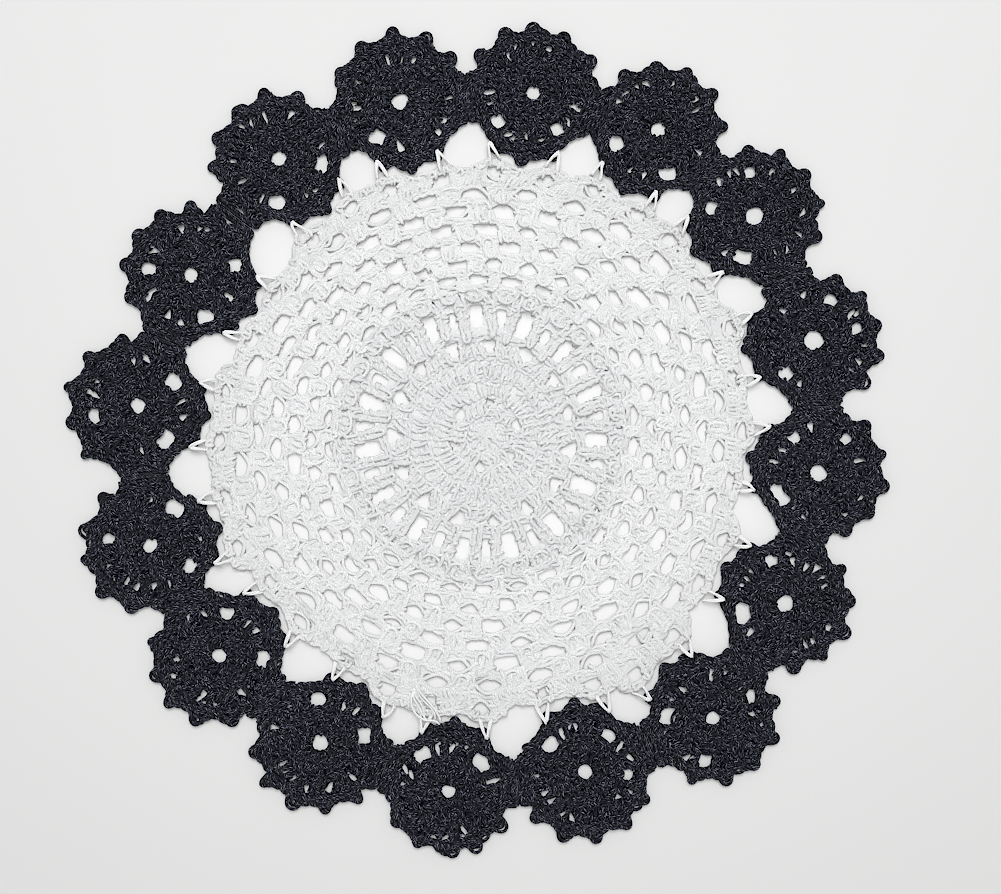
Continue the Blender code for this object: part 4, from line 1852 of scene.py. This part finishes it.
    def rim(self) -> None:
        """Work the scalloped rim, and short strands across everything inside it."""
        rng = self.skein.rng
        points = []
        for here, after in zip(self.picots, self.picots[1:] + self.picots[:1]):
            halfway = (after.direction - here.direction) % 360.0 / 2
            points.append(self.at(here.direction, (here.radius + here.dip) / 2 - self.rim_inset))
            points.append(self.at(here.direction + halfway, here.dip - self.rim_inset))
        line = rounded(np.array(points), 5)
        line = self.pattern.inside_seams(line, self.index, self.yarn + self.rim_space)
        self.work.chain(line)
        rim = Reach(line, self.middle)
        for turn in np.arange(0.0, 360.0, self.rim_step):
            turn = turn + rng.normal(0.0, self.rim_turn)
            reach = rim.at(turn)
            middle = self.at(turn, (self.spoke_top + self.rim_shift + reach) / 2)
            heading = turn + rng.normal(0.0, self.rim_swing)
            self.work.stray(middle, heading, max(reach - self.spoke_top + self.rim_lap, self.shortest_rim))
        for _ in range(self.strays):
            turn = rng.uniform(0.0, 360.0)
            reach = rim.at(turn) - self.stray_inset
            place = self.at(turn, reach * math.sqrt(rng.uniform(*self.stray_reach)))
            if self.is_clear(place, self.stray_room):
                self.work.stray(place, rng.uniform(0.0, 360.0), rng.uniform(*self.stray_length))

    def seams(self) -> None:
        """Work strands along the joints to the two neighbours."""
        rng = self.skein.rng
        for other in (self.index - 1, self.index + 1):
            facing = direction_of(self.pattern.centre_of(other) - self.middle)
            for space in self.seam_spaces:
                turns = facing + np.linspace(-self.seam_half, self.seam_half, self.seam_places)
                turns += rng.normal(0.0, self.seam_swing, self.seam_places)
                line = np.array([self.at(turn, self.pattern.joined_picot) for turn in turns])
                line = self.pattern.inside_seams(line, self.index, self.yarn + space)
                high = self.height + rng.normal(*self.seam_rise, (self.seam_places, 1))
                self.skein.lay(np.hstack((line, high)))

    def nub(self, picot: Picot) -> None:
        """Work one picot: a small closed loop, open inside or with strands across its root.

        Args:
            picot: The picot.
        """
        rng = self.skein.rng
        radius = self.skein.radius
        up = along(picot.direction, 1.0)
        aside = along(picot.direction - 90.0, 1.0)
        lean = rng.normal(0.0, self.nub_lean)
        wide = rng.uniform(*self.nub_width)
        reach = picot.radius - radius - rng.uniform(0.0, self.nub_sink)
        shapes = PICOT_STRANDS
        if picot.crown > 0.0 and rng.random() < self.open_share:
            inset, *size = self.eye
            self.slits.append(Slit(self.at(picot.direction, reach - inset), picot.direction, *size))
            shapes, wide = shapes[:1], self.eye_width
        tip = self.at(picot.direction, reach) + aside * lean
        for shape in shapes:
            flat = np.array([tip + aside * across * wide + up * on for across, on, _ in shape])
            flat = self.pattern.inside_seams(flat, self.index, radius)
            high = np.array([self.height + rise for _, _, rise in shape])
            path = np.column_stack((flat, high))
            path[:, :2] += rng.normal(0.0, self.nub_jitter, flat.shape)
            self.skein.lay(path)


# ---------------------------------------------------------------- the studio


@dataclass(frozen=True)
class Fill:
    """A light straight above: its power, the radius it covers, its soft share and its size."""

    power: float
    radius: float
    blend: float
    size: float


@dataclass
class Studio:
    """Plain pale floor, soft light and a camera straight above.

    view and view_width, in millimetres, are the middle and the width of what the camera sees.
    horizon and zenith are the brightness of the surround. Other lengths are metres and powers
    are watts.
    """

    view: Span = (5.6, -4.8)
    view_width: float = 400.4
    lens: float = 50.0
    sensor: float = 36.0
    floor_size: float = 60.0
    floor_depth: float = 0.0001
    floor_colour: Colour = (0.80, 0.80, 0.7968, 1.0)
    floor_roughness: float = 0.9
    key_power: float = 21.2
    key_size: float = 1.2
    key_place: tuple[float, float, float] = (0.04, 0.9, 1.6)
    fills: tuple[Fill, ...] = (Fill(12.0, 0.155, 1.0, 0.155), Fill(11.0, 0.118, 0.3, 0.03))
    fill_height: float = 1.2
    horizon: float = 0.78
    zenith: float = 0.365
    crispness: float = 0.2

    def build(self) -> None:
        """Set up floor, lights, camera and the way tones are shown."""
        self.floor()
        self.surround()
        self.lights()
        self.camera()
        self.sharpen()
        bpy.context.scene.view_settings.view_transform = "Standard"

    def floor(self) -> None:
        """Lay the floor under the doily."""
        bpy.ops.object.select_all(action="DESELECT")
        bpy.ops.mesh.primitive_plane_add(size=self.floor_size, location=(0.0, 0.0, -self.floor_depth))
        floor = bpy.context.object
        floor.name = "floor"
        material, _, shader = new_material("pale_floor")
        shader.inputs["Base Color"].default_value = self.floor_colour
        shader.inputs["Roughness"].default_value = self.floor_roughness
        floor.data.materials.append(material)

    def surround(self) -> None:
        """Light the doily evenly from all round, less from straight above."""
        world = bpy.data.worlds.new("surround")
        world.use_nodes = True
        wiring = Wiring(world.node_tree)
        place = wiring.node("ShaderNodeTexCoord").outputs["Generated"]
        height = wiring.node("ShaderNodeSeparateXYZ", {0: place}).outputs["Z"]
        inputs = {"Value": height, "To Min": self.horizon, "To Max": self.zenith}
        backdrop = world.node_tree.nodes["Background"]
        wiring.put(wiring.node("ShaderNodeMapRange", inputs).outputs[0], backdrop.inputs["Strength"])
        backdrop.inputs["Color"].default_value = (1.0, 1.0, 1.0, 1.0)
        bpy.context.scene.world = world

    def lights(self) -> None:
        """Hang one soft light beyond the far edge, and the fills straight above."""
        light = bpy.data.lights.new("window_light", "AREA")
        light.energy = self.key_power
        light.size = self.key_size
        lamp = add_object("window_light", light, self.key_place)
        lamp.rotation_euler = Vector(self.key_place).to_track_quat("Z", "Y").to_euler()
        for fill in self.fills:
            light = bpy.data.lights.new("fill_light", "SPOT")
            light.energy = fill.power
            light.spot_size = 2 * math.atan(fill.radius / self.fill_height)
            light.spot_blend = fill.blend
            light.shadow_soft_size = fill.size
            add_object("fill_light", light, (0.0, 0.0, self.fill_height))

    def sharpen(self) -> None:
        """Give the picture the crispness of a telephone's camera."""
        scene = bpy.context.scene
        scene.use_nodes = True
        scene.node_tree.nodes.clear()
        wiring = Wiring(scene.node_tree)
        picture = wiring.node("CompositorNodeRLayers").outputs["Image"]
        inputs = {"Fac": self.crispness, "Image": picture}
        crisp = wiring.node("CompositorNodeFilter", inputs, filter_type="SHARPEN_DIAMOND")
        wiring.node("CompositorNodeComposite", {"Image": crisp.outputs["Image"]})

    def camera(self) -> None:
        """Put the camera straight above, framed as in the photograph."""
        data = bpy.data.cameras.new("camera")
        data.lens = self.lens
        data.sensor_width = self.sensor
        distance = self.view_width * self.lens / self.sensor
        place = (self.view[0] * MM, self.view[1] * MM, distance * MM)
        bpy.context.scene.camera = add_object("camera", data, place)


def main() -> None:
    """Build the doily on its floor and report each piece."""
    logging.basicConfig(level=logging.INFO, format="%(name)s: %(message)s")
    pattern = Pattern()
    pieces = WhiteCentre(pattern, WHITE_YARN).build()
    strand, felt = NAVY_YARN.strand(), NAVY_YARN.felted()
    for index in range(len(MOTIFS)):
        pieces += NavyMotif(pattern, NAVY_YARN, index).build(strand, felt)
    total = 0
    for piece in pieces:
        count = sum(len(face.vertices) - 2 for face in piece.data.polygons)
        total += count
        LOG.info("%s: %d triangles", piece.name, count)
    LOG.info("all pieces: %d triangles", total)
    Studio().build()


if __name__ == "__main__":
    main()
